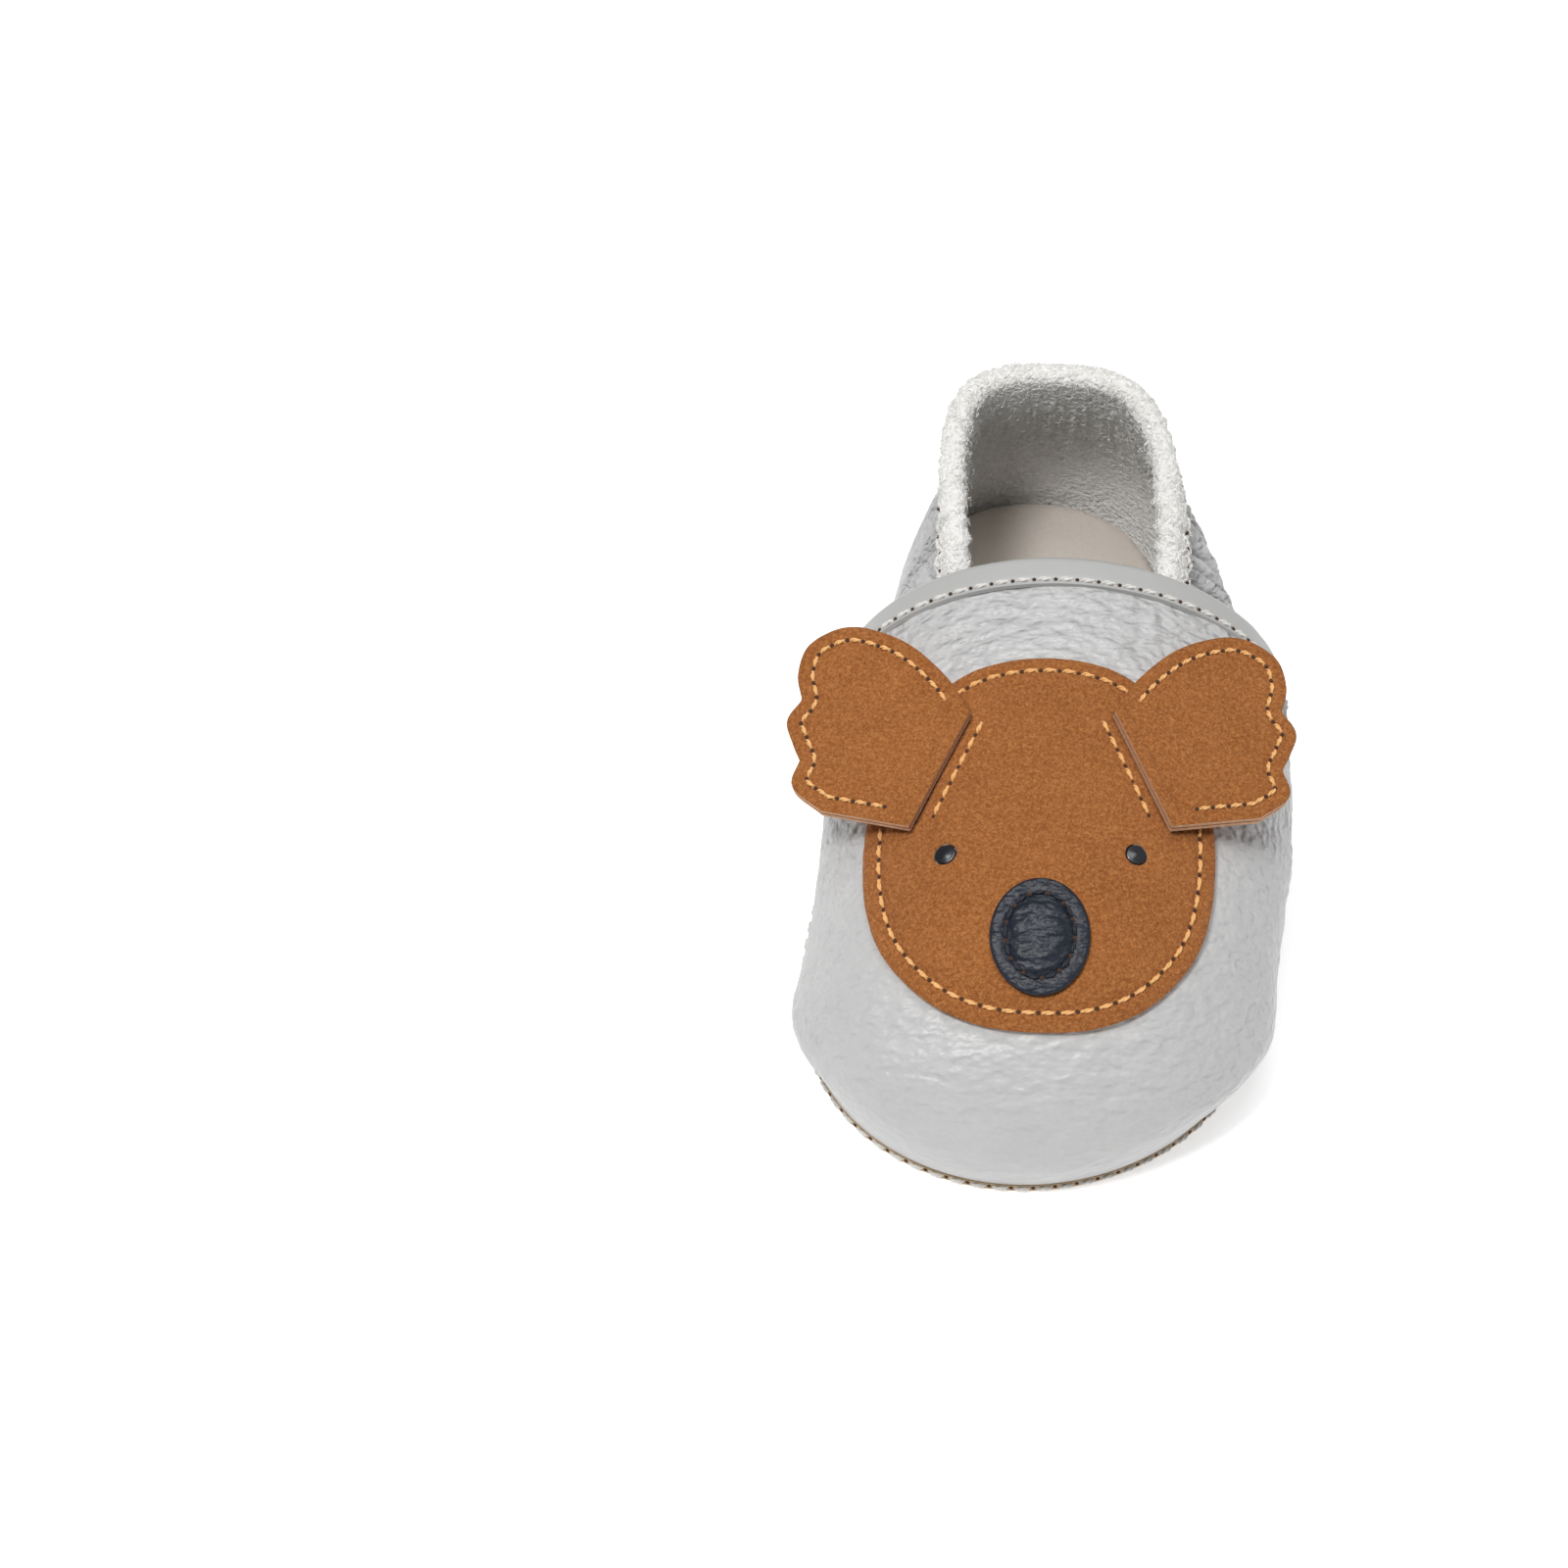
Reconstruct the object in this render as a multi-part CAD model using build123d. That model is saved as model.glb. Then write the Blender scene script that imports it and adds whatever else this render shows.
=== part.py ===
from build123d import *
from math import comb, cos, dist, hypot, pi, radians, sin, sqrt
import os

# Baby bootie, left foot, soft leather, about 12.5 cm sole.
# Frame: toe towards -Y, heel towards +Y, +X on the lateral side, sole bottom on Z = 0. Millimetres.

# ---- sole ----
SOLE_HALF_LENGTH = 62.3
SOLE_WIDTH_TERMS = (36.0, 5.8, 7.1, -2.7)    # cosine terms of the half width round the outline
TOE_LEAN = 2.4                               # the big toe side lies a little towards -X
OUTSOLE_THICK = 1.6
FOAM_THICK = 2.0
INSOLE_THICK = 1.3
INSOLE_INSET = 2.3                           # from the outsole edge to the insole edge
FRONT_INSET = 3.0                            # more inset where the quarter's ends lie inside the vamp
FRONT_INSET_ANGLES = (radians(74), radians(103))    # where that inset grows and where it goes again
FRONT_INSET_RUN = radians(8)                 # over this much of the outline
BALL_Y = -28.0                               # the sole is nearly round in front of this
HEEL_Y = 40.0                                # and behind this

# ---- leather ----
LEATHER_THICK = 1.2
SUEDE_THICK = 1.2
NOSE_THICK = 1.0
LINING_THICK = 0.5
BINDING_THICK = 0.8
EAR_LAYER_THICK = 0.95
GAP = 0.05                                   # between pieces that are sewn or glued face to face
SEAM_Z = OUTSOLE_THICK + GAP                 # where the upper starts

# ---- vamp ----
TOE_BLEND_ANGLE = radians(40)                # the toe seam runs this far round each side of the tip
THROAT_ANGLE = radians(99)                   # where the throat edge meets the sole
VAMP_PROFILE = [(-61.7, SEAM_Z), (-67.5, 15), (-60, 31), (-38, 36.5), (-14, 39.5), (19.5, 39.3)]
TOE_ARCH = (1.04, 0.30, 1.78, 1.47)          # two control points of the half section, in half widths
THROAT_ARCH = (2.08, 0.68, 0.50, 1.25)
MEDIAL_TUCK = 0.55                           # the vamp bulges less on the -X side
TOE_SHAPE_RUN = 0.35                         # the seam's round toe turns into an arch over this share
ARCH_CHANGE = (0.4, 0.6)                     # start and run of the change from toe arch to throat arch
TUCK_CHANGE = (0.25, 0.6)                    # start and run of the medial tuck
LINING_REACH = 0.92                          # the lining ends short of the throat

# ---- heel quarter and its folded collar ----
QUARTER_ANGLE = radians(84)                  # its front ends are inside the vamp
QUARTER_TUCK = 3.3                           # how far in the front ends stand from the sole's edge
TUCK_RAMP = (0.77, 0.075)                    # start and run of that step, in shares of the half wall
RIM_LATERAL = [(0, 53, 41.2), (11, 53, 41.2), (15.5, 52.6, 40.9),
               (18.5, 40, 39.6), (18.0, 20, 34.0), (15.5, 4, 20.5)]
RIM_MEDIAL = [(0, 53, 41.2), (-11, 53, 41.2), (-15.5, 52, 40.9),
              (-14.5, 36, 38.8), (-9.5, 20, 32.4), (-12.5, 4, 20.5)]
HEEL_BULGE = 2.0
HEEL_BULGE_RUN = 0.3                         # it turns into the side's bulge over this share
WALL_HANDLES = (12, 14)                      # heights of the wall curve's control points off its ends
# Bulge of the wall at the heel's side, low and high near the vamp, and where it grows between them.
LATERAL_BULGE = (3.5, 7.2, 20.0, 0.35, 0.88)
MEDIAL_BULGE = (0.3, 1.5, 17.5, 0.48, 0.88)
FOLD_RADIUS = 1.3
FOLD_DEPTH = 4.2
ELASTIC_WIDTH = 4.0
ELASTIC_THICK = 0.7
ELASTIC_DROP = 0.5                           # its top edge stands this far above the crease line
ELASTIC_SPREAD = 0.7                         # share of its width that lies along the wall
WALL_SHARE = 0.6                             # of the quarter's section: the wall ends here
ROUND_SHARE = 0.8                            # and the round of the fold here, then comes its flap
FLAP_END_OUT = LEATHER_THICK + GAP

# ---- binding of the throat ----
BINDING_WIDTH = 4.0
BINDING_OFFSET = LEATHER_THICK / 2 + GAP + BINDING_THICK / 2
BINDING_FLAPS = (0.4, 0.6)                   # of its section: end of the outer flap, start of the inner
BINDING_SPAN = 0.05                          # share of the vamp's length used to measure its width

# ---- animal face ----
FACE_X = -0.5
FACE_HALF_OUTLINE = [(0, 1.8), (10.0, 0.2), (16.7, -5), (21.5, -13), (23.5, -22), (23.3, -32.6),
                     (20.8, -41.2), (15.2, -48.1), (8.1, -51.8), (0, -52.8)]
NOSE_CENTRE = (FACE_X, -41.1)
NOSE_RADII = (6.6, 7.6)
EYE_SPREAD = 12.8
EYE_Y = -28.6
EYE_HOLE_RADIUS = 1.55
EYE_DOT_RADIUS = 1.4
EAR_BASE_TOP = (8.9, -7.0)                   # ends of the ear's base line, from the face's middle
EAR_BASE_LOW = (16.2, -23.3)
EAR_DROOP = radians(10)
EAR_CLEARANCE = 0.75
EAR_OUTLINE = [(1.2, 0), (-2.0, 4.7), (-4.6, 11.5), (-5.0, 17.5), (-3.6, 22.6), (0.8, 26.0), (5.6, 25.4)]
EAR_MIDDLE_LOBE = [(9.0, 23.0), (12.9, 23.4), (16.2, 20.5)]
EAR_LOWER_LOBE = [(17.5, 18.9), (21.6, 18.0), (23.3, 12.5)]
EAR_LOWER_CORNER = (20.4, 0)
SLIT_START = 1.2                             # outside the ear's base line, so the ear hides it
SLIT_WIDTH = 0.6
EYE_SUNK = 0.22                              # the eye's dot lies this far below the suede's surface

# ---- stitches ----
THREAD_RADIUS = 0.3
STITCH_SINK = 0.12
SEAM_INSET = 2.2
NOSE_SEAM_INSET = 2.1
STITCH_SHARE = 0.72                          # of the pitch, the rest is the gap at the hole
FACE_PITCH = 2.7
EAR_PITCH = 2.35
NOSE_PITCH = 2.6
SEAM_PITCH = 3.1
BINDING_SEAM_REACH = 0.08                    # of the binding's section, from its lower edge
BINDING_SEAM_ENDS = (0.08, 0.92)             # of the throat
COLLAR_SEAM_ENDS = (-0.8, 0.8)               # round the collar
COLLAR_SEAM_RISE = 1.0                       # above the flap's raw edge
EAR_SEAM_BASE_GAP = 1.2                      # the ear's seam stops this far from its base line
ANCHOR_OFFSET = 1.35                         # the row that holds the ear lies this far inside its base line
ANCHOR_ENDS = (0.06, 0.94)                   # of the ear's base line

# ---- construction ----
CUT_HEIGHT = 60.0                            # taller than the bootie
HALF = LEATHER_THICK / 2
PATCH_LOW = HALF + GAP                       # suede on the vamp, as lifts off its mid surface
PATCH_HIGH = PATCH_LOW + SUEDE_THICK
LEVEL_SEAM_HEIGHT = 5.0                      # below this the leather's normal turns level
TOP_HEIGHT = 30.0                            # above this the vamp faces up
SIDES = {"left": -1, "right": 1}


def blend(x):
    """0 below 0, 1 above 1, smooth between."""
    x = min(max(x, 0.0), 1.0)
    return x * x * (3 - 2 * x)


def ramp(x, start, run):
    return blend((x - start) / run)


def mix(a, b, w):
    return tuple(p + (q - p) * w for p, q in zip(a, b))


def unit(v):
    length = sqrt(sum(c * c for c in v)) or 1.0
    return tuple(c / length for c in v)


def bezier(points, t):
    n = len(points) - 1
    weights = [comb(n, i) * t ** i * (1 - t) ** (n - i) for i in range(n + 1)]
    return tuple(sum(w * p[k] for w, p in zip(weights, points)) for k in range(len(points[0])))


def sole_edge(angle, inset=0.0):
    """Outline of the sole: angle 0 at the toe, 90 degrees on the +X side."""
    half = sum(term * cos(k * angle) for k, term in enumerate(SOLE_WIDTH_TERMS))
    x = half * sin(angle) - TOE_LEAN * max(cos(angle), 0) ** 2
    y = -SOLE_HALF_LENGTH * cos(angle)
    if inset:
        step = 1e-3
        before, after = sole_edge(angle - step), sole_edge(angle + step)
        along = unit((after[0] - before[0], after[1] - before[1]))
        x -= inset * along[1]
        y += inset * along[0]
    return x, y


def outward(x, y):
    """Direction away from the sole's spine, level with the floor."""
    spine_y = min(max(y, BALL_Y), HEEL_Y)
    return unit((x, y - spine_y, 0))


def vamp_base(along, across):
    """Mid surface of the vamp: along 0 at the toe seam, 1 at the throat; across 0 at -X, 1 at +X."""
    inset = HALF
    angle = TOE_BLEND_ANGLE + (THROAT_ANGLE - TOE_BLEND_ANGLE) * along
    right_x, seam_y = sole_edge(angle, inset)
    left_x = sole_edge(-angle, inset)[0]
    top_y, top_z = bezier(VAMP_PROFILE, along)
    side, side_z, shoulder, shoulder_z = mix(TOE_ARCH, THROAT_ARCH, ramp(along, *ARCH_CHANGE))
    medial = side - MEDIAL_TUCK * ramp(along, *TUCK_CHANGE)
    arch = [(-1, 0), (-medial, side_z), (-shoulder, shoulder_z),
            (shoulder, shoulder_z), (side, side_z), (1, 0)]
    px, pz = bezier(arch, across)
    toe_right, toe_y = sole_edge(TOE_BLEND_ANGLE, inset)
    toe_left = sole_edge(-TOE_BLEND_ANGLE, inset)[0]
    toe_x, toe_front = sole_edge(TOE_BLEND_ANGLE * (2 * across - 1), inset)
    tip_y = sole_edge(0, inset)[1]
    seam_px = (toe_x - (toe_right + toe_left) / 2) / ((toe_right - toe_left) / 2)
    seam_pz = (toe_front - toe_y) / (tip_y - toe_y)
    w = blend(along / TOE_SHAPE_RUN)
    px = seam_px + (px - seam_px) * w
    pz = seam_pz + (pz - seam_pz) * w
    x = (right_x + left_x) / 2 + px * (right_x - left_x) / 2
    return x, seam_y + pz * (top_y - seam_y), SEAM_Z + pz * (top_z - SEAM_Z)


def rim_point(around):
    """Crease line of the collar fold: around 0 at the heel, 1 and -1 at the two front ends."""
    return bezier(RIM_LATERAL if around >= 0 else RIM_MEDIAL, abs(around))


def quarter_base(around, up):
    """Mid surface of the heel quarter: up 0 at the sole seam, 1 at the collar's crease line."""
    far = abs(around)
    angle = pi - around * (pi - QUARTER_ANGLE)
    inset = HALF + QUARTER_TUCK * ramp(far, *TUCK_RAMP)
    seam_x, seam_y = sole_edge(angle, inset)
    out_x, out_y = sole_edge(angle, inset - 1)
    out_x, out_y = out_x - seam_x, out_y - seam_y
    side, front_low, front_high, start, end = LATERAL_BULGE if around >= 0 else MEDIAL_BULGE
    side = HEEL_BULGE + (side - HEEL_BULGE) * blend(far / HEEL_BULGE_RUN)
    front = blend((far - start) / (end - start))
    low = side + (front_low - side) * front
    high = side + (front_high - side) * front
    rim_x, rim_y, rim_z = rim_point(around)
    low_handle, high_handle = WALL_HANDLES
    wall = [(seam_x, seam_y, SEAM_Z),
            (seam_x + out_x * low, seam_y + out_y * low, SEAM_Z + low_handle),
            (rim_x + out_x * high, rim_y + out_y * high, rim_z - high_handle),
            (rim_x, rim_y, rim_z)]
    return bezier(wall, up)


def difference(p, q):
    return tuple(a - b for a, b in zip(p, q))


def surface_normal(base, a, b):
    """Outward unit normal, turned level close to the sole seam."""
    step = 1e-3
    across = difference(base(a, min(b + step, 1)), base(a, max(b - step, 0)))
    along = difference(base(min(a + step, 1), b), base(max(a - step, -1), b))
    n = unit((across[1] * along[2] - across[2] * along[1],
              across[2] * along[0] - across[0] * along[2],
              across[0] * along[1] - across[1] * along[0]))
    x, y, z = base(a, b)
    away = outward(x, y)
    if n[2] < 0 and base is vamp_base and z > TOP_HEIGHT:
        n = tuple(-c for c in n)
    if z <= TOP_HEIGHT and n[0] * away[0] + n[1] * away[1] < 0:
        n = tuple(-c for c in n)
    w = ramp(z, SEAM_Z, LEVEL_SEAM_HEIGHT)
    return unit(mix(away, n, w))


def raised(base, a, b, lift):
    """A point lifted off a base surface along its normal."""
    p = base(a, b)
    n = surface_normal(base, a, b)
    return tuple(c + d * lift for c, d in zip(p, n))


def spread(low, high, count):
    return [low + (high - low) * i / (count - 1) for i in range(count)]


def skin(point, rows, columns):
    """Spline face through point(row, column)."""
    grid = [[Vector(*point(a, b)) for b in columns] for a in rows]
    return Face.make_surface_from_array_of_points(grid, tol=0.01)


def sheet(point, low, high, rows, columns):
    """Closed solid between two lifts of a surface, with ruled sides."""
    bottom = skin(lambda a, b: point(a, b, low), rows, columns)
    top = skin(lambda a, b: point(a, b, high), rows, columns)
    sides = []
    for edge in bottom.edges():
        middle = edge.position_at(0.5)
        partner = min(top.edges(), key=lambda other: (other.position_at(0.5) - middle).length)
        sides.append(Face.make_surface_from_curves(edge, partner))
    return Solid(Shell([bottom, top] + sides))


def upper_from_xy(x, y):
    """The vamp's (along, across) above a point of the floor plan, by Newton steps."""
    along, across = 0.65, 0.5 + x / (4 * TOP_HEIGHT)
    step = 1e-4
    longest = 0.2
    for _ in range(30):
        here = vamp_base(along, across)
        da = difference(vamp_base(along + step, across), here)
        db = difference(vamp_base(along, across + step), here)
        det = (da[0] * db[1] - db[0] * da[1]) / step
        miss_x, miss_y = x - here[0], y - here[1]
        along += min(max((miss_x * -db[1] + miss_y * db[0]) / -det, -longest), longest)
        across += min(max((miss_x * da[1] - miss_y * da[0]) / -det, -longest), longest)
    return along, across


def on_vamp(x, y, lift):
    """Point above (x, y) on the vamp, lifted off its mid surface."""
    along, across = upper_from_xy(x, y)
    return raised(vamp_base, along, across, lift)


def vamp_point(along, across, lift):
    return raised(vamp_base, along, across, lift)


def rim_frame(around):
    """Crease point, up direction and outward normal of the quarter at its top edge."""
    up = unit(difference(quarter_base(around, 1), quarter_base(around, 0.97)))
    return rim_point(around), up, surface_normal(quarter_base, around, 1)


def rim_offset(around, height, out):
    rim, up, away = rim_frame(around)
    return tuple(c + u * height + n * out for c, u, n in zip(rim, up, away))


def quarter_point(around, along, lift):
    """The whole quarter: wall, round of the collar fold and its flap on the outside."""
    if along <= WALL_SHARE:
        return raised(quarter_base, around, along / WALL_SHARE, lift)
    if along <= ROUND_SHARE:
        turn = pi * (along - WALL_SHARE) / (ROUND_SHARE - WALL_SHARE)
        radius = FOLD_RADIUS - lift
        return rim_offset(around, radius * sin(turn), FOLD_RADIUS - radius * cos(turn))
    down = (along - ROUND_SHARE) / (1 - ROUND_SHARE)
    out = 2 * FOLD_RADIUS + (FLAP_END_OUT - 2 * FOLD_RADIUS) * blend(down)
    return rim_offset(around, -FOLD_DEPTH * down, out - lift)


def binding_point(across, along, lift):
    """Rolled band over the throat edge: outer flap, round, inner flap."""
    edge = vamp_base(1, across)
    rise = difference(edge, vamp_base(1 - BINDING_SPAN, across))
    reach = BINDING_SPAN * BINDING_WIDTH / hypot(*rise)
    radius = BINDING_OFFSET + lift
    outer_end, inner_start = BINDING_FLAPS
    if along <= outer_end:
        return raised(vamp_base, 1 - reach * (1 - along / outer_end), across, radius)
    if along >= inner_start:
        return raised(vamp_base, 1 - reach * (along - inner_start) / (1 - inner_start), across, -radius)
    turn = pi * (along - outer_end) / (inner_start - outer_end)
    beyond = unit(rise)
    away = surface_normal(vamp_base, 1, across)
    return tuple(c + n * radius * cos(turn) + d * radius * sin(turn)
                 for c, n, d in zip(edge, away, beyond))


def elastic_point(around, across, lift):
    """Flat elastic inside the collar fold."""
    return rim_offset(around, ELASTIC_DROP - ELASTIC_WIDTH * across, FOLD_RADIUS + lift)


# ---- sole ----
def insole_inset(angle):
    """The insole keeps clear of the quarter's front ends."""
    turned = abs((angle + pi) % (2 * pi) - pi)
    grows, goes = (ramp(turned, start, FRONT_INSET_RUN) for start in FRONT_INSET_ANGLES)
    return INSOLE_INSET + FRONT_INSET * grows * (1 - goes)


def sole_layer(bottom, thickness, inset):
    angles = [2 * pi * i / 48 for i in range(48)]
    outline = Spline(*[(*sole_edge(a, inset(a)), bottom) for a in angles], periodic=True)
    return extrude(make_face(outline), amount=thickness, dir=(0, 0, 1))


def make_outsole():
    return sole_layer(0, OUTSOLE_THICK, lambda angle: 0)


def make_foam():
    return sole_layer(OUTSOLE_THICK + GAP, FOAM_THICK, insole_inset)


def make_insole():
    return sole_layer(OUTSOLE_THICK + FOAM_THICK + 2 * GAP, INSOLE_THICK, insole_inset)


# ---- upper ----
def make_vamp():
    return sheet(vamp_point, -HALF, HALF, spread(0, 1, 25), spread(0, 1, 41))


def make_lining():
    outer = -HALF - GAP
    return sheet(vamp_point, outer - LINING_THICK, outer, spread(0, LINING_REACH, 21), spread(0, 1, 41))


def make_binding():
    rows = spread(0.0, 1.0, 41)
    outer_end, inner_start = BINDING_FLAPS
    columns = spread(0, outer_end, 6)[:-1] + spread(outer_end, inner_start, 9) + spread(inner_start, 1, 6)[1:]
    return sheet(binding_point, -BINDING_THICK / 2, BINDING_THICK / 2, rows, columns)


def make_quarter():
    wall = spread(0, WALL_SHARE, 14)
    fold = spread(WALL_SHARE, ROUND_SHARE, 11)[1:-1]
    columns = wall + fold + spread(ROUND_SHARE, 1, 7)
    return sheet(quarter_point, -HALF, HALF, spread(-1, 1, 61), columns)


def make_elastic():
    half = ELASTIC_THICK / 2
    return sheet(elastic_point, -half, half, spread(-1, 1, 61), spread(0, ELASTIC_SPREAD, 3))


# ---- face ----
def plan_prism(outline):
    return extrude(make_face(outline), amount=CUT_HEIGHT, dir=(0, 0, 1))


def face_outline():
    right = [(FACE_X + x, y) for x, y in FACE_HALF_OUTLINE]
    left = [(FACE_X - x, y) for x, y in FACE_HALF_OUTLINE[-2:0:-1]]
    return Spline(*(right + left), periodic=True)


def nose_outline():
    return Pos(*NOSE_CENTRE) * Ellipse(*NOSE_RADII).wire()


def patch(outline, low, high, along, across):
    """Piece on the vamp with this plan outline, cut from the given ranges of along and across."""
    return sheet(vamp_point, low, high, spread(*along, 15), spread(*across, 21)) & plan_prism(outline)


def ear_base(side):
    """Ends of the ear's base line: side is 1 at +X, -1 at -X."""
    lift = PATCH_HIGH + EAR_CLEARANCE + EAR_LAYER_THICK
    return [Vector(*on_vamp(FACE_X + side * x, y, lift)) for x, y in (EAR_BASE_TOP, EAR_BASE_LOW)]


def ear_plane(side):
    """X along the base, Y out of the head, Z up at +X and down at -X."""
    top, low = ear_base(side)
    base = (low - top).normalized()
    level = Vector(side, 0, 0)
    out = (level - base * level.dot(base)).normalized()
    normal = base.cross(out).normalized() * side
    out = out * cos(EAR_DROOP) - normal * sin(EAR_DROOP)
    return Plane(origin=top, x_dir=base, z_dir=base.cross(out))


def make_slit(side):
    top, low = ear_base(side)
    along = Vector(low.X - top.X, low.Y - top.Y, 0).normalized()
    inward = Vector(-side * abs(along.Y), -abs(along.X), 0)
    top, low = top - inward * SLIT_START, low - inward * SLIT_START
    corners = [top, low, low + inward * SLIT_WIDTH, top + inward * SLIT_WIDTH]
    return plan_prism(Polyline(*[(c.X, c.Y) for c in corners], close=True))


def make_face_patch():
    whole = patch(face_outline(), PATCH_LOW, PATCH_HIGH, (0.3, 0.97), (0.18, 0.8))
    for side in (-1, 1):
        whole -= make_slit(side)
        whole -= Pos(FACE_X + side * EYE_SPREAD, EYE_Y, 0) * Cylinder(EYE_HOLE_RADIUS, 2 * CUT_HEIGHT)
    return whole


def make_nose():
    low = PATCH_HIGH + GAP
    return patch(nose_outline(), low, low + NOSE_THICK, (0.4, 0.7), (0.4, 0.6))


def make_eye(side):
    outline = Pos(FACE_X + side * EYE_SPREAD, EYE_Y) * Circle(EYE_DOT_RADIUS).wire()
    return patch(outline, PATCH_LOW, PATCH_HIGH - EYE_SUNK, (0.5, 0.75), (0.3, 0.7))


def ear_outline():
    """Ear in its own plane: round tip, then a middle and a lower lobe, then the straight base."""
    tip = Spline(*EAR_OUTLINE, EAR_MIDDLE_LOBE[0])
    middle = ThreePointArc(*EAR_MIDDLE_LOBE)
    join = Line(EAR_MIDDLE_LOBE[-1], EAR_LOWER_LOBE[0])
    lower = Spline(*EAR_LOWER_LOBE)
    edge = Line(EAR_LOWER_LOBE[-1], EAR_LOWER_CORNER)
    base = Line(EAR_LOWER_CORNER, EAR_OUTLINE[0])
    return Wire([tip, middle, join, lower, edge, base])


def make_ear_layer(side, low):
    flat = extrude(make_face(ear_outline()), amount=EAR_LAYER_THICK, dir=(0, 0, 1))
    bottom = low if side > 0 else -low - EAR_LAYER_THICK
    return ear_plane(side).from_local_coords(Pos(0, 0, bottom) * flat)


# ---- stitches ----
def thread(start, end):
    """One stitch between two points of a surface."""
    start, end = Vector(*start), Vector(*end)
    length = (end - start).length
    plane = Plane(origin=start, z_dir=end - start)
    body = Cylinder(THREAD_RADIUS, length, align=(Align.CENTER, Align.CENTER, Align.MIN))
    return plane.from_local_coords(body)


def path_length(place):
    """Length of the curve place(0..1), from short chords."""
    points = [tuple(place(i / 80)) for i in range(81)]
    return sum(dist(p, q) for p, q in zip(points, points[1:]))


def stitch_row(place, pitch):
    """Stitches along place(0..1), each taking a share of the pitch."""
    count = round(path_length(place) / pitch)
    rows = [thread(place(i / count), place((i + STITCH_SHARE) / count)) for i in range(count)]
    return Compound(children=rows)


def plan_stitches(outline, inset, lift, pitch):
    """A row on the vamp, inside an outline of the floor plan."""
    seam = outline.offset_2d(-inset)

    def place(t):
        x, y, _ = tuple(seam @ t)
        return on_vamp(x, y, lift)

    return stitch_row(place, pitch)


def make_face_stitches():
    lift = PATCH_HIGH + THREAD_RADIUS - STITCH_SINK
    return plan_stitches(Wire([face_outline()]), SEAM_INSET, lift, FACE_PITCH)


def make_nose_stitches():
    lift = PATCH_HIGH + GAP + NOSE_THICK + THREAD_RADIUS - STITCH_SINK
    return plan_stitches(nose_outline(), NOSE_SEAM_INSET, lift, NOSE_PITCH)


def make_ear_stitches(side):
    """Round the ear's three free sides, open along its base."""
    seam = make_face(ear_outline()).wire().offset_2d(-SEAM_INSET)
    height = EAR_LAYER_THICK + GAP / 2 + THREAD_RADIUS - STITCH_SINK
    plane = ear_plane(side)
    free = EAR_SEAM_BASE_GAP + SEAM_INSET
    rows = []
    count = round(seam.length / EAR_PITCH)
    for i in range(count):
        ends = [tuple(seam @ (t / count))[:2] for t in (i, i + STITCH_SHARE)]
        if min(y for _, y in ends) > free:
            rows.append(thread(*[plane.from_local_coords(Vector(x, y, side * height)) for x, y in ends]))
    return Compound(children=rows)


def make_anchor_stitches(side):
    """The row on the face that holds the ear, beside its base line."""
    lift = PATCH_HIGH + THREAD_RADIUS - STITCH_SINK
    (x0, y0), (x1, y1) = EAR_BASE_TOP, EAR_BASE_LOW
    across, down = unit((y1 - y0, x0 - x1))
    first, last = ANCHOR_ENDS

    def place(t):
        along = first + (last - first) * t
        x = x0 + (x1 - x0) * along + across * ANCHOR_OFFSET
        y = y0 + (y1 - y0) * along + down * ANCHOR_OFFSET
        return on_vamp(FACE_X + side * x, y, lift)

    return stitch_row(place, FACE_PITCH)


def make_binding_stitches():
    first, last = BINDING_SEAM_ENDS
    lift = BINDING_THICK / 2 + THREAD_RADIUS - STITCH_SINK

    def place(t):
        return binding_point(first + (last - first) * t, BINDING_SEAM_REACH, lift)

    return stitch_row(place, SEAM_PITCH)


def make_collar_stitches():
    first, last = COLLAR_SEAM_ENDS
    out = FLAP_END_OUT + HALF + THREAD_RADIUS - STITCH_SINK
    height = COLLAR_SEAM_RISE - FOLD_DEPTH
    return stitch_row(lambda t: rim_offset(first + (last - first) * t, height, out), SEAM_PITCH)


def make_sole_stitches():
    height = OUTSOLE_THICK / 2
    inset = STITCH_SINK - THREAD_RADIUS
    return stitch_row(lambda t: (*sole_edge(2 * pi * t, inset), height), SEAM_PITCH)


def build():
    nodes = {
        "outsole": make_outsole(),
        "foam_midsole": make_foam(),
        "insole": make_insole(),
        "vamp": make_vamp(),
        "vamp_lining": make_lining(),
        "throat_binding": make_binding(),
        "heel_quarter": make_quarter(),
        "collar_elastic": make_elastic(),
        "face_patch": make_face_patch(),
        "nose_patch": make_nose(),
        "face_stitching": make_face_stitches(),
        "nose_stitching": make_nose_stitches(),
        "binding_stitching": make_binding_stitches(),
        "collar_stitching": make_collar_stitches(),
        "sole_seam_stitching": make_sole_stitches(),
    }
    for name, side in SIDES.items():
        nodes[f"{name}_eye_dot"] = make_eye(side)
        nodes[f"{name}_ear_front"] = make_ear_layer(side, GAP / 2)
        nodes[f"{name}_ear_back"] = make_ear_layer(side, -GAP / 2 - EAR_LAYER_THICK)
        nodes[f"{name}_ear_stitching"] = make_ear_stitches(side)
        nodes[f"{name}_ear_anchor_stitching"] = make_anchor_stitches(side)
    return nodes


os.makedirs("parts", exist_ok=True)
for name, shape in build().items():
    export_step(shape, f"parts/{name}.step")
for name, side in SIDES.items():
    top, low = ear_base(side)
    plane = ear_plane(side)
    print(name, "ear hinge", (top + low) / 2, "along", plane.x_dir * side)
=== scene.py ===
from math import comb, pi, radians

import bmesh
import bpy
import numpy as np
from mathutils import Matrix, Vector, noise


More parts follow.
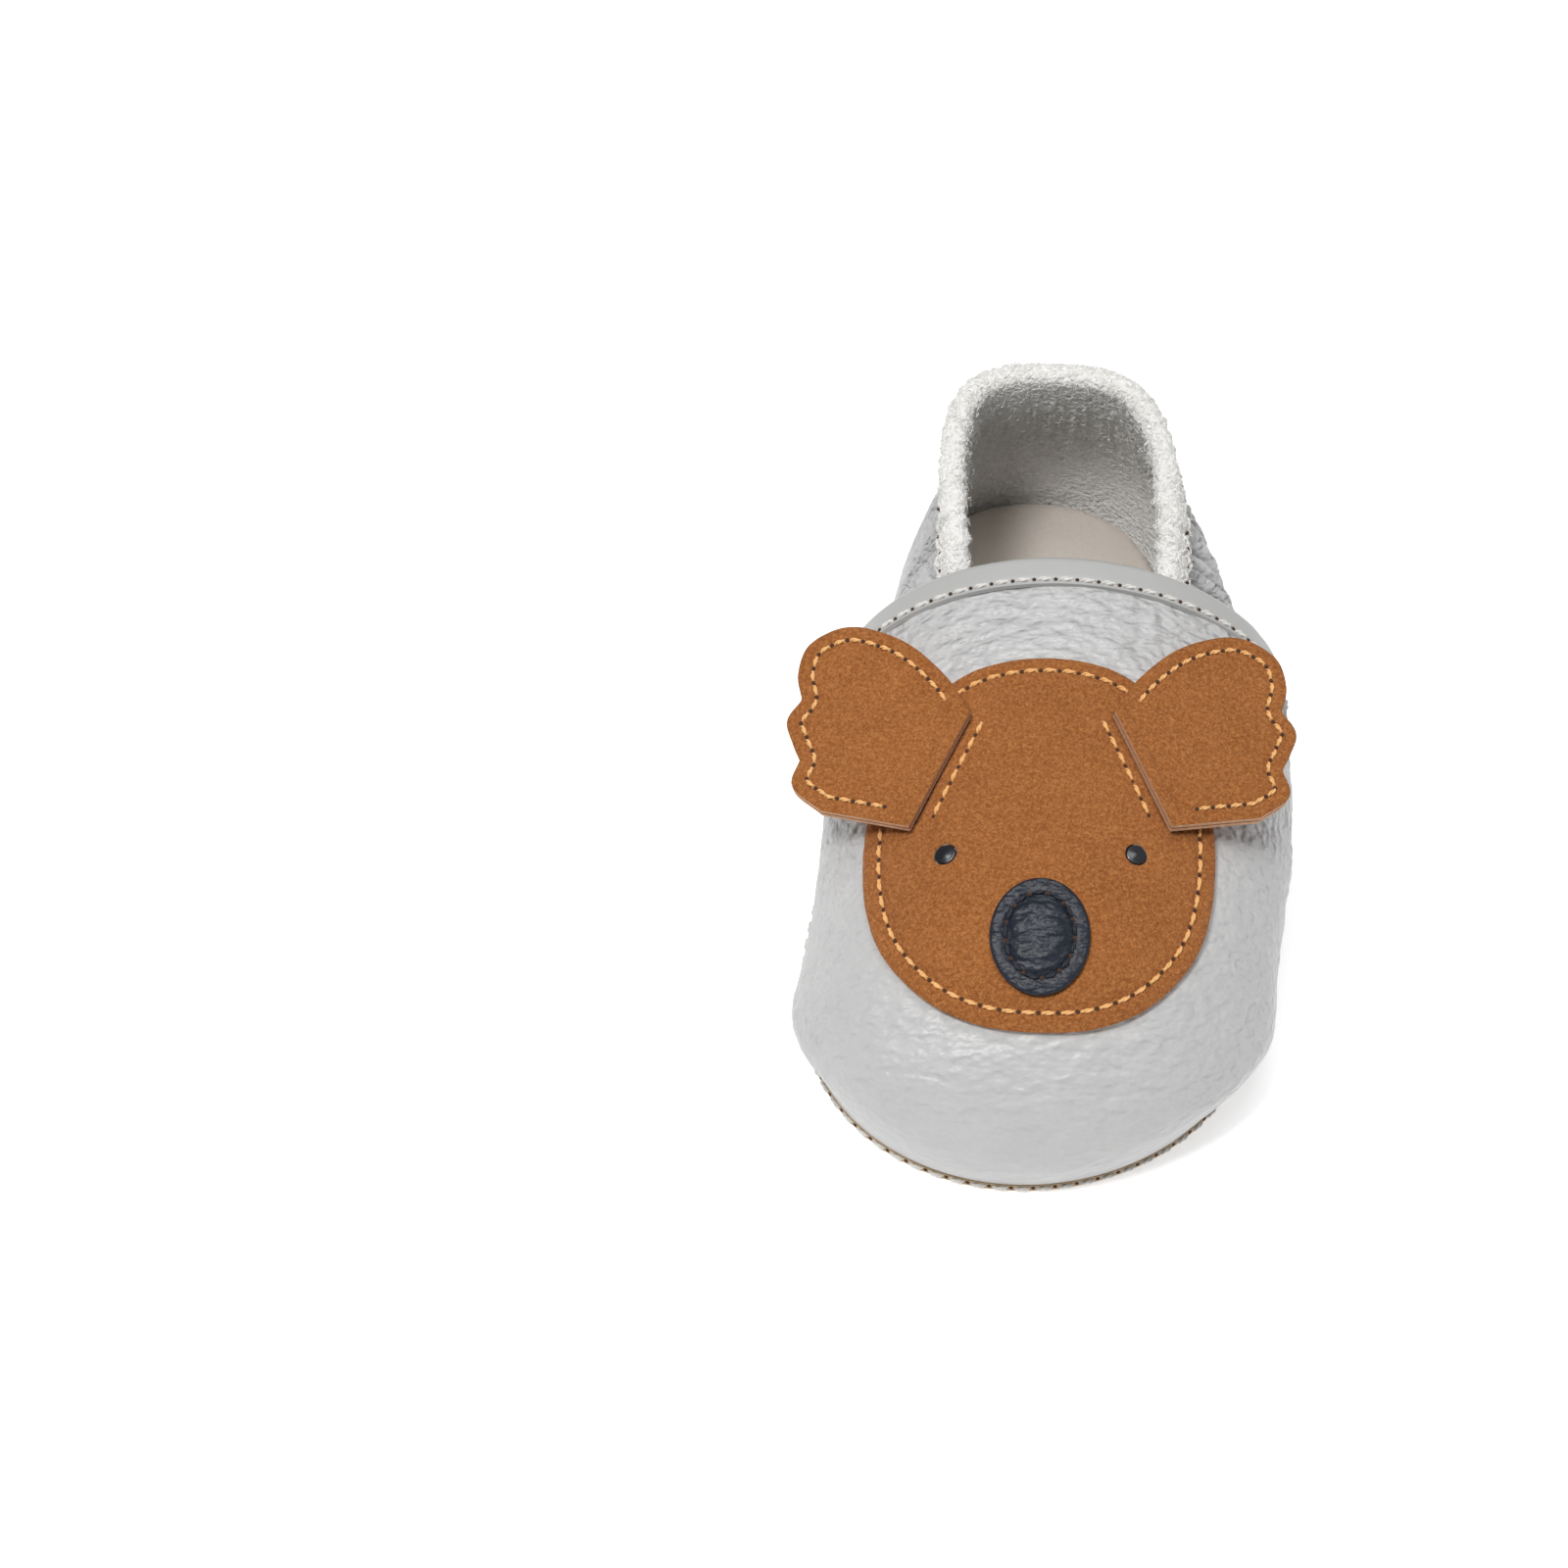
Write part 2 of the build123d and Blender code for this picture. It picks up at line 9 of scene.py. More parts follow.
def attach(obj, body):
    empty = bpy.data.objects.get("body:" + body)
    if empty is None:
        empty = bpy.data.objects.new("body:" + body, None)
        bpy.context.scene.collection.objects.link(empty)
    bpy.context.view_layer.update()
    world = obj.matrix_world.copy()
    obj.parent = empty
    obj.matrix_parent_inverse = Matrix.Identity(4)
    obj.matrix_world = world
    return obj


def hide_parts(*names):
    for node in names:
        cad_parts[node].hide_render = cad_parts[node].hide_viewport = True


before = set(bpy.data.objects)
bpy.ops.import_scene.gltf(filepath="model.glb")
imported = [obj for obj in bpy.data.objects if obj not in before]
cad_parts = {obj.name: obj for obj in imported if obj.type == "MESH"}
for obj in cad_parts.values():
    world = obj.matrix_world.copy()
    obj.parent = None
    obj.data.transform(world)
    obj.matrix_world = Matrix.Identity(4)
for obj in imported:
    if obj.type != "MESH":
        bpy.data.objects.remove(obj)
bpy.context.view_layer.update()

MM = 0.001
RANDOM = np.random.default_rng(7)

# Lengths below are in millimetres, in the frame's own axes: toe towards -Y, +X on the lateral side.

# ---- sole ----
SOLE_HALF_LENGTH = 62.3
SOLE_WIDTH_TERMS = (36.0, 5.8, 7.1, -2.7)
TOE_LEAN = 2.4
OUTSOLE_THICK = 1.6
FOAM_THICK = 2.0
INSOLE_THICK = 1.3
INSOLE_INSET = 2.3
FRONT_INSET = 3.0
FRONT_INSET_ANGLES = (radians(74), radians(103))
FRONT_INSET_RUN = radians(8)
BALL_Y = -28.0
HEEL_Y = 40.0

# ---- leather ----
LEATHER_THICK = 1.2
HALF = LEATHER_THICK / 2
SUEDE_THICK = 1.2
NOSE_THICK = 1.0
LINING_THICK = 0.5
BINDING_THICK = 0.8
EAR_LAYER_THICK = 0.95
GAP = 0.05
SEAM_Z = OUTSOLE_THICK + GAP
LEVEL_SEAM_HEIGHT = 5  # up to here above the seam, the leather's normal turns level
TOP_HEIGHT = 30  # above this the vamp faces up
PATCH_LOW = HALF + GAP
PATCH_HIGH = PATCH_LOW + SUEDE_THICK

# ---- vamp ----
TOE_BLEND_ANGLE = radians(40)
THROAT_ANGLE = radians(99)
VAMP_PROFILE = [(-61.7, SEAM_Z), (-67.5, 15), (-60, 31), (-38, 36.5), (-14, 39.5), (19.5, 39.3)]
TOE_ARCH = (1.04, 0.30, 1.78, 1.47)
THROAT_ARCH = (2.08, 0.68, 0.50, 1.25)
MEDIAL_TUCK = 0.55
TOE_SHAPE_RUN = 0.35
ARCH_CHANGE = (0.4, 0.6)
TUCK_CHANGE = (0.25, 0.6)
LINING_REACH = 0.92

# ---- heel quarter ----
QUARTER_ANGLE = radians(84)
QUARTER_TUCK = 3.3
TUCK_RAMP = (0.77, 0.075)
RIM_LATERAL = [(0, 53, 41.2), (11, 53, 41.2), (15.5, 52.6, 40.9),
               (18.5, 40, 39.6), (18.0, 20, 34.0), (15.5, 4, 20.5)]
RIM_MEDIAL = [(0, 53, 41.2), (-11, 53, 41.2), (-15.5, 52, 40.9),
              (-14.5, 36, 38.8), (-9.5, 20, 32.4), (-12.5, 4, 20.5)]
HEEL_BULGE = 2.0
HEEL_BULGE_RUN = 0.3
WALL_HANDLES = (12, 14)
LATERAL_BULGE = (3.5, 7.2, 20.0, 0.35, 0.88)
MEDIAL_BULGE = (0.3, 1.5, 17.5, 0.48, 0.88)
FOLD_RADIUS = 1.3
FOLD_DEPTH = 4.2
WALL_SHARE = 0.6
ROUND_SHARE = 0.8
FLAP_END_OUT = LEATHER_THICK + GAP
ELASTIC_WIDTH = 4.0
ELASTIC_THICK = 0.7
ELASTIC_DROP = 0.5
ELASTIC_SPREAD = 0.7

# ---- throat binding ----
BINDING_WIDTH = 4.0
BINDING_OFFSET = HALF + GAP + BINDING_THICK / 2
BINDING_FLAPS = (0.4, 0.6)
BINDING_SPAN = 0.05

# ---- animal face ----
FACE_X = -0.5
FACE_HALF_OUTLINE = [(0, 1.8), (10.0, 0.2), (16.7, -5), (21.5, -13), (23.5, -22), (23.3, -32.6),
                     (20.8, -41.2), (15.2, -48.1), (8.1, -51.8), (0, -52.8)]
NOSE_CENTRE = (FACE_X, -41.1)
NOSE_RADII = (6.6, 7.6)
EYE_SPREAD = 12.8
EYE_Y = -28.6
EYE_HOLE_RADIUS = 1.55
EYE_DOT_RADIUS = 1.4
EYE_SUNK = 0.22
EAR_BASE_TOP = (8.9, -7.0)
EAR_BASE_LOW = (16.2, -23.3)
EAR_DROOP = radians(10)
EAR_CLEARANCE = 0.75
EAR_OUTLINE = [(1.2, 0), (-2.0, 4.7), (-4.6, 11.5), (-5.0, 17.5), (-3.6, 22.6), (0.8, 26.0), (5.6, 25.4)]
EAR_MIDDLE_LOBE = [(9.0, 23.0), (12.9, 23.4), (16.2, 20.5)]
EAR_LOWER_LOBE = [(17.5, 18.9), (21.6, 18.0), (23.3, 12.5)]
EAR_LOWER_CORNER = (20.4, 0)
SLIT_WIDTH = 0.6
SLIT_START = -1.2  # outside the ear's base line, so the ear hides it
SIDES = {"left": -1, "right": 1}

# ---- stitches ----
SEAM_INSET = 2.2
NOSE_SEAM_INSET = 2.1
FACE_PITCH = 2.7
EAR_PITCH = 2.35
NOSE_PITCH = 2.6
SEAM_PITCH = 3.1
THREAD_RADIUS = 0.3
STITCH_SHARE = 0.72  # of the pitch, the rest is the gap at the hole
THREAD_RISE = 0.95  # the next four are shares of the thread's radius
THREAD_SINK = 0.35
PLY_RADIUS = 0.66
PLY_OFFSET = 0.42
PLY_TAPER = 0.35
THREAD_TWIST = 2.6  # radians, from a stitch's middle to its end
PLY_SIDES, STATIONS = 6, 9
# the needle holes are dark plugs: painted shade for the shade inside each hole
HOLE_RADIUS = 0.29
HOLE_SIDES = 8
HOLE_LEVELS = (-0.2, 0.24)  # its bottom and top, from the stitch's end
HOLE_SINK = 0.02
FACE_SEAM_SINK = 0.14  # how far each row's line lies under its surface
NOSE_SEAM_SINK = 0.1
EAR_SEAM_SINK = 0.12
ANCHOR_SINK = 0.05
THROAT_SEAM_SINK = 0.1
SOLE_SEAM_RISE = 0.01
EAR_SEAM_BASE_GAP = 1.2  # an ear's seam stops this far from its base line
ANCHOR_OFFSET = 1.35  # the row that holds an ear lies this far inside its base line
ANCHOR_ENDS = (0.06, 0.94)  # of the ear's base line
THROAT_SEAM_ENDS = (0.08, 0.92)
THROAT_SEAM_REACH = 0.08  # of the binding's section, from its lower edge
COLLAR_SEAM_ENDS = (-0.8, 0.8)
COLLAR_SEAM_REACH = 0.955  # of the quarter's section

# ---- looks ----
SHARP_ANGLE = radians(50)  # mesh edges that turn more than this stay sharp
COLLAR_HALF_LENGTH = 70  # from the heel to either front end
GATHER_LENGTH = 4.6  # from one pucker of the elastic collar to the next
HEEL_GATHER = 0.16  # share of the gathers that is left at the back of the heel
GATHER_RAMP = (0.22, 0.25)  # where they grow towards the sides: start and run
PUCKER_RAMP = (0.25, 0.45)  # where they grow up the wall
RIM_RAMP = (0.86, 0.14)  # and where they lose this share near the rim
RIM_FADE = 0.62
PUFF_HEIGHT = 0.45
CREASE_DEPTH = 1.9
RIM_LUMP = 0.28  # the collar's rim and flap rise and fall by this much
FIBRES_ON_RIM = 5200
FIBRES_INSIDE = 3600
FIBRE_RADII = (0.055, 0.05, 0.04, 0.02)
FIBRE_SIDES = 3
SOLE_CELL, FOAM_CELL, SUEDE_CELL, NOSE_CELL, EYE_CELL = 0.8, 1.2, 0.36, 0.2, 0.12  # mesh sizes
SUEDE_ROUND = 0.2  # radius of the suede's cut edges
EDGE_RUN = 0.02  # the vamp's wrinkles fade over this share at its edges
EYE_DOME = 0.22
EAR_CURL, EAR_LENGTH = 0.10, 26
NOSE_PUFF, NOSE_GROOVE, NOSE_WRINKLE = 0.45, 0.22, 0.14
SUEDE_GROOVE, SUEDE_NAP = 0.20, 0.07

# ---- materials ----
SPOT_RANGE = (0.35, 0.65)  # of the noise that mixes two colours
TEXTURE_DETAIL = {"waves": 1.5, "noise": 5}
WAVE_SQUEEZE = (0.55, 1, 1)  # the leather's waves are long across the foot

# ---- stage, in metres ----
FLOOR_DROP = 0.00002  # the floor lies this far under the sole, so their faces don't coincide
FLOOR_GLOW = 0.45
WORLD_LIGHT = (0.06, 0.44)  # its strength on the -X side and on the +X side
LAMP_AIM = (0, 0, 0.02)
LAMPS = [("key", (-0.22, -0.20, 0.75), 0.18, 4.4), ("top", (0.03, 0.05, 0.85), 0.4, 2.4)]  # size and watts
CAMERA_PLACE = (-0.0227, -0.3548, 0.50394)
CAMERA_DOWN, CAMERA_TURN = radians(54.29), radians(2.4)


# ==== shared mathematics ====
def blend(x):
    x = np.clip(x, 0, 1)
    return x * x * (3 - 2 * x)


def ramp(x, start, run):
    return blend((x - start) / run)


def arrays(*values):
    return np.broadcast_arrays(*(np.asarray(v, float) for v in values))


def grid(rows, columns):
    """Two arrays over a grid: rows and columns are each (first, last, count)."""
    return np.meshgrid(np.linspace(*rows), np.linspace(*columns), indexing="ij")


def unit(v):
    return v / np.maximum(np.linalg.norm(v, axis=-1, keepdims=True), 1e-9)


def bezier_weights(n, t):
    return [comb(n, i) * t ** i * (1 - t) ** (n - i) for i in range(n + 1)]


def bezier(points, t):
    """Each point is a tuple of numbers or arrays. Gives one array per coordinate."""
    weights = bezier_weights(len(points) - 1, t)
    return [sum(w * p[k] for w, p in zip(weights, points)) for k in range(len(points[0]))]


def catmull_rom(a, b, c, d, f):
    """Point at the share f of the way from b to c."""
    square = (2 * a - 5 * b + 4 * c - d) * f ** 2
    cube = (3 * b - a - 3 * c + d) * f ** 3
    return 0.5 * (2 * b + (c - a) * f + square + cube)


def smooth_closed(points, count):
    """Periodic Catmull-Rom curve through points."""
    p = np.array(points, float)
    t = np.linspace(0, len(p), count, endpoint=False)
    i = t.astype(int)
    f = (t - i)[:, None]
    return catmull_rom(*(p[(i + k) % len(p)] for k in (-1, 0, 1, 2)), f)


def smooth_open(points, count):
    """Open Catmull-Rom curve through points."""
    p = np.array(points, float)
    p = np.vstack([2 * p[0] - p[1], p, 2 * p[-1] - p[-2]])
    t = np.linspace(0, len(p) - 3, count)
    i = np.minimum(t.astype(int), len(p) - 4)
    f = (t - i)[:, None]
    return catmull_rom(*(p[i + k] for k in range(4)), f)


def at_points(points, size, stretch, measure):
    """A measure of noise at each point, with features of that size."""
    scaled = points.reshape(-1, 3) / (size * np.array(stretch))
    return np.array([measure(Vector(p)) for p in scaled]).reshape(points.shape[:-1])


def fractal(points, size, octaves=3, stretch=(1, 1, 1)):
    """Smooth noise from about -1 to 1."""
    return at_points(points, size, stretch, lambda p: noise.fractal(p, 0.8, 2.1, octaves))


def pebbles(points, size, stretch=(1, 1, 1)):
    """Leather grain: 0 in the creases between pebbles, 1 on them."""
    def from_crease(p):
        near = noise.voronoi(p)[0]
        return near[1] - near[0]

    return np.clip(at_points(points, size, stretch, from_crease) / 0.45, 0, 1) ** 0.6


# ==== surfaces of the bootie ====
def sole_edge(angle, inset=0.0):
    half = sum(term * np.cos(k * angle) for k, term in enumerate(SOLE_WIDTH_TERMS))
    x = half * np.sin(angle) - TOE_LEAN * np.maximum(np.cos(angle), 0) ** 2
    y = -SOLE_HALF_LENGTH * np.cos(angle)
    if np.any(inset):
        step = 1e-3
        x0, y0 = sole_edge(angle - step)
        x1, y1 = sole_edge(angle + step)
        length = np.hypot(x1 - x0, y1 - y0)
        x = x - inset * (y1 - y0) / length
        y = y + inset * (x1 - x0) / length
    return x, y


def vamp_base(along, across):
    """Mid surface of the vamp: along 0 at the toe seam, 1 at the throat; across 0 at -X, 1 at +X."""
    angle = TOE_BLEND_ANGLE + (THROAT_ANGLE - TOE_BLEND_ANGLE) * along
    right_x, seam_y = sole_edge(angle, HALF)
    left_x = sole_edge(-angle, HALF)[0]
    top_y, top_z = bezier(VAMP_PROFILE, along)
    change = ramp(along, *ARCH_CHANGE)
    side, side_z, shoulder, shoulder_z = (a + (b - a) * change for a, b in zip(TOE_ARCH, THROAT_ARCH))
    medial = side - MEDIAL_TUCK * ramp(along, *TUCK_CHANGE)
    arch = [(-1, 0), (-medial, side_z), (-shoulder, shoulder_z),
            (shoulder, shoulder_z), (side, side_z), (1, 0)]
    px, pz = bezier(arch, across)
    toe_right, toe_y = sole_edge(TOE_BLEND_ANGLE, HALF)
    toe_left = sole_edge(-TOE_BLEND_ANGLE, HALF)[0]
    toe_x, toe_front = sole_edge(TOE_BLEND_ANGLE * (2 * across - 1), HALF)
    tip_y = sole_edge(0.0, HALF)[1]
    seam_px = (toe_x - (toe_right + toe_left) / 2) / ((toe_right - toe_left) / 2)
    seam_pz = (toe_front - toe_y) / (tip_y - toe_y)
    w = blend(along / TOE_SHAPE_RUN)
    px = seam_px + (px - seam_px) * w
    pz = seam_pz + (pz - seam_pz) * w
    x = (right_x + left_x) / 2 + px * (right_x - left_x) / 2
    return np.stack([x, seam_y + pz * (top_y - seam_y), SEAM_Z + pz * (top_z - SEAM_Z)], -1)


def rim_point(around):
    lateral = np.stack(bezier(RIM_LATERAL, np.abs(around)), -1)
    medial = np.stack(bezier(RIM_MEDIAL, np.abs(around)), -1)
    return np.where((around >= 0)[..., None], lateral, medial)


def quarter_base(around, up):
    """Mid surface of the heel quarter: up 0 at the sole seam, 1 at the collar's crease line."""
    far = np.abs(around)
    angle = pi - around * (pi - QUARTER_ANGLE)
    inset = HALF + QUARTER_TUCK * ramp(far, *TUCK_RAMP)
    seam_x, seam_y = sole_edge(angle, inset)
    out_x, out_y = sole_edge(angle, inset - 1)
    out_x, out_y = out_x - seam_x, out_y - seam_y
    lateral = around >= 0
    side, front_low, front_high, start, end = (
        np.where(lateral, a, b) for a, b in zip(LATERAL_BULGE, MEDIAL_BULGE))
    side = HEEL_BULGE + (side - HEEL_BULGE) * blend(far / HEEL_BULGE_RUN)
    front = blend((far - start) / (end - start))
    low = side + (front_low - side) * front
    high = side + (front_high - side) * front
    rim = rim_point(around)
    low_handle, high_handle = WALL_HANDLES
    wall = [(seam_x, seam_y, SEAM_Z),
            (seam_x + out_x * low, seam_y + out_y * low, SEAM_Z + low_handle),
            (rim[..., 0] + out_x * high, rim[..., 1] + out_y * high, rim[..., 2] - high_handle),
            (rim[..., 0], rim[..., 1], rim[..., 2])]
    return np.stack(bezier(wall, up), -1)


def surface_normal(base, a, b):
    """Outward unit normal, turned level close to the sole seam."""
    step = 1e-3
    across = base(a, np.minimum(b + step, 1)) - base(a, np.maximum(b - step, 0))
    along = base(np.minimum(a + step, 1), b) - base(np.maximum(a - step, -1), b)
    n = unit(np.cross(across, along))
    p = base(a, b)
    spine_y = np.clip(p[..., 1], BALL_Y, HEEL_Y)
    away = unit(np.stack([p[..., 0], p[..., 1] - spine_y, 0 * p[..., 2]], -1))
    high = p[..., 2] > TOP_HEIGHT
    inward = np.sum(n * away, -1) < 0
    if base is vamp_base:
        flip = np.where(high, n[..., 2] < 0, inward)
    else:
        flip = inward
    n = np.where(flip[..., None], -n, n)
    w = ramp(p[..., 2], SEAM_Z, LEVEL_SEAM_HEIGHT)[..., None]
    return unit(away + (n - away) * w)


def vamp_point(along, across, lift):
    n = surface_normal(vamp_base, along, across)
    return vamp_base(along, across) + n * np.asarray(lift)[..., None]


def upper_from_xy(x, y):
    """The vamp's (along, across) above points of the floor plan, by Newton steps."""
    guess_along, guess_width = 0.65, 120
    along = np.full_like(x, guess_along)
    across = 0.5 + x / guess_width
    step, longest = 1e-4, 0.2
    for _ in range(25):
        here = vamp_base(along, across)
        da = (vamp_base(along + step, across) - here) / step
        db = (vamp_base(along, across + step) - here) / step
        det = da[..., 0] * db[..., 1] - db[..., 0] * da[..., 1]
        mx, my = x - here[..., 0], y - here[..., 1]
        along = along + np.clip((mx * db[..., 1] - my * db[..., 0]) / det, -longest, longest)
        across = across + np.clip((my * da[..., 0] - mx * da[..., 1]) / det, -longest, longest)
    return along, across


def on_vamp(x, y, lift):
    along, across = upper_from_xy(np.asarray(x, float), np.asarray(y, float))
    return vamp_point(along, across, lift)


# ==== gathers of the elastic collar ====
def gather_wave(around, drift):
    """Irregular puckers round the collar, -1 in a crease to 1 on a puff.

    The lengths of the sines don't divide one another, so the puckers don't repeat.
    """
    length = around * COLLAR_HALF_LENGTH / GATHER_LENGTH
    warp = 1.5 * np.sin(length * 0.61 + 1.3) + 1.1 * np.sin(length * 1.37 + drift)
    warp = warp + 0.7 * np.sin(length * 2.9)
    size = 0.75 + 0.35 * np.sin(length * 0.83 + 0.4) * np.sin(length * 0.37 + 2)
    wave = np.sin(2 * pi * length + warp + 1.6 * drift)
    return size * np.sign(wave) * np.abs(wave) ** 0.75


def creases(around, drift):
    """Narrow valleys between the puffs: 1 at their bottoms, 0 on the puffs."""
    length = around * COLLAR_HALF_LENGTH / GATHER_LENGTH
    phase = 2.1 * pi * length + 1.7 * np.sin(length * 0.8) + 1.2 * np.sin(length * 2.1 + 1) + drift
    return (1 - np.abs(np.sin(phase))) ** 2


def gather_strength(around):
    """Strong at the sides, weak round the back of the heel."""
    far = np.abs(around)
    return HEEL_GATHER + (1 - HEEL_GATHER) * ramp(far, *GATHER_RAMP)


def pucker(around, up):
    """How far the gathers push the leather out, deepest a little below the rim."""
    depth = ramp(up, *PUCKER_RAMP) * (1 - RIM_FADE * ramp(up, *RIM_RAMP))
    puffs = PUFF_HEIGHT * gather_wave(around, 1.8 * (1 - up))
    valleys = CREASE_DEPTH * creases(around, 2.4 * (1 - up))
    return gather_strength(around) * depth * (puffs - valleys)


def rim_frame(around):
    """The collar's crease line, then the way up the wall and the way out there."""
    top = np.ones_like(around)
    rim = quarter_base(around, top)
    return rim, unit(rim - quarter_base(around, top - 0.03)), surface_normal(quarter_base, around, top)


def quarter_point(around, along, lift):
    """Wall, round of the collar fold and its flap, with the gathers."""
    around, along, lift = arrays(around, along, lift)
    up = np.clip(along / WALL_SHARE, 0, 1)
    n = surface_normal(quarter_base, around, up)
    wall = quarter_base(around, up) + n * lift[..., None]
    rim, rise, away = rim_frame(around)
    turn = pi * (along - WALL_SHARE) / (ROUND_SHARE - WALL_SHARE)
    radius = FOLD_RADIUS - lift
    fold = rim + rise * (radius * np.sin(turn))[..., None]
    fold = fold + away * (FOLD_RADIUS - radius * np.cos(turn))[..., None]
    down = (along - ROUND_SHARE) / (1 - ROUND_SHARE)
    out = 2 * FOLD_RADIUS + (FLAP_END_OUT - 2 * FOLD_RADIUS) * blend(down) - lift
    flap = rim - rise * (FOLD_DEPTH * down)[..., None] + away * out[..., None]
    point = np.where((along <= WALL_SHARE)[..., None], wall,
                     np.where((along <= ROUND_SHARE)[..., None], fold, flap))
    point = point + away * pucker(around, up)[..., None]
    band = ramp(along, WALL_SHARE - 0.05, 0.1) * (0.35 + 0.65 * blend(down))
    lumps = RIM_LUMP * gather_strength(around) * band * gather_wave(around, 2.4)
    return point + rise * lumps[..., None]


def binding_point(across, along, lift):
    """Rolled band over the throat edge: outer flap, round, inner flap."""
    across, along, lift = arrays(across, along, lift)
    one = np.ones_like(across)
    edge = vamp_base(one, across)
    rise = edge - vamp_base(one - BINDING_SPAN, across)
    reach = BINDING_SPAN * BINDING_WIDTH / np.linalg.norm(rise, axis=-1)
    radius = BINDING_OFFSET + lift
    first, last = BINDING_FLAPS
    outer = vamp_point(1 - reach * np.clip(1 - along / first, 0, 1), across, radius)
    inner = vamp_point(1 - reach * np.clip((along - last) / (1 - last), 0, 1), across, -radius)
    turn = pi * (along - first) / (last - first)
    away = surface_normal(vamp_base, one, across)
    roll = edge + away * (radius * np.cos(turn))[..., None]
    roll = roll + unit(rise) * (radius * np.sin(turn))[..., None]
    return np.where((along <= first)[..., None], outer, np.where((along >= last)[..., None], inner, roll))


# ==== mesh building ====
def new_piece(name, points, faces, body, materials, replaces=(), face_material=None, marks=None):
    """A mesh in metres that rides on a body. marks is a number for each point, read by its material."""
    mesh = bpy.data.meshes.new(name)
    mesh.from_pydata((np.asarray(points) * MM).tolist(), [], faces)
    mesh.update()
    for key in materials:
        mesh.materials.append(MATERIALS[key])
    if face_material is not None:
        mesh.polygons.foreach_set("material_index", np.asarray(face_material, np.int32))
    if marks is not None:
        layer = mesh.attributes.new("mark", "FLOAT", "POINT")
        layer.data.foreach_set("value", np.asarray(marks, np.float32))
    piece = bpy.data.objects.new(name, mesh)
    bpy.context.scene.collection.objects.link(piece)
    turned = bmesh.new()
    turned.from_mesh(mesh)
    bmesh.ops.recalc_face_normals(turned, faces=turned.faces)
    turned.to_mesh(mesh)
    turned.free()
    mesh.shade_smooth()
    mesh.set_sharp_from_angle(angle=SHARP_ANGLE)
    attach(piece, body)
    if replaces:
        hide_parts(*replaces)
    return piece


def grid_faces(rows, columns, start=0, flip=False):
    i, j = np.meshgrid(np.arange(rows - 1), np.arange(columns - 1), indexing="ij")
    a = start + i * columns + j
    quads = np.stack([a, a + 1, a + columns + 1, a + columns], -1).reshape(-1, 4)
    return (quads[:, ::-1] if flip else quads).tolist()


def shell(outer, inner):
    """Closed mesh from two grids of the same border, the inner one coarser by a whole factor.

    The kind of a face is 0 on the outer side, 1 on the inner side and 2 round the edge.
    """
    rows, columns = outer.shape[:2]
    in_rows, in_columns = inner.shape[:2]
    step = (rows - 1) // (in_rows - 1)
    start = rows * columns
    points = np.vstack([outer.reshape(-1, 3), inner.reshape(-1, 3)])
    faces = grid_faces(rows, columns) + grid_faces(in_rows, in_columns, start, flip=True)
    kind = [0] * ((rows - 1) * (columns - 1)) + [1] * ((in_rows - 1) * (in_columns - 1))

    def border(r, c, first):
        ids = first + np.arange(r * c).reshape(r, c)
        return list(ids[0, :-1]) + list(ids[:-1, -1]) + list(ids[-1, :0:-1]) + list(ids[:0:-1, 0])

    out, into = border(rows, columns, 0), border(in_rows, in_columns, start)
    for j in range(len(into)):
        here, there = int(into[j]), int(into[(j + 1) % len(into)])
        middle = step // 2
        for k in range(step):
            a, b = int(out[(j * step + k) % len(out)]), int(out[(j * step + k + 1) % len(out)])
            faces.append([b, a, here if k < middle else there])
            kind.append(2)
        faces.append([int(out[(j * step + middle) % len(out)]), here, there])
        kind.append(2)
    return points, faces, kind


def outline_distance(x, y, loops):
    """Distance to the nearest outline, below 0 inside, and that nearest point."""
    best = np.full(x.shape, 1e9)
    near_x, near_y = np.zeros_like(x), np.zeros_like(x)
    inside = np.zeros(x.shape, bool)
    for loop in loops:
        for p, q in zip(loop, np.roll(loop, -1, 0)):
            d = q - p
            t = np.clip(((x - p[0]) * d[0] + (y - p[1]) * d[1]) / (d @ d + 1e-12), 0, 1)
            fx, fy = p[0] + t * d[0], p[1] + t * d[1]
            far = np.hypot(x - fx, y - fy)
            closer = far < best
            best = np.where(closer, far, best)
            near_x, near_y = np.where(closer, fx, near_x), np.where(closer, fy, near_y)
            crosses = (p[1] > y) != (q[1] > y)
            if p[1] != q[1]:
                inside ^= crosses & (x < p[0] + (y - p[1]) / d[1] * d[0])
    return np.where(inside, -best, best), near_x, near_y


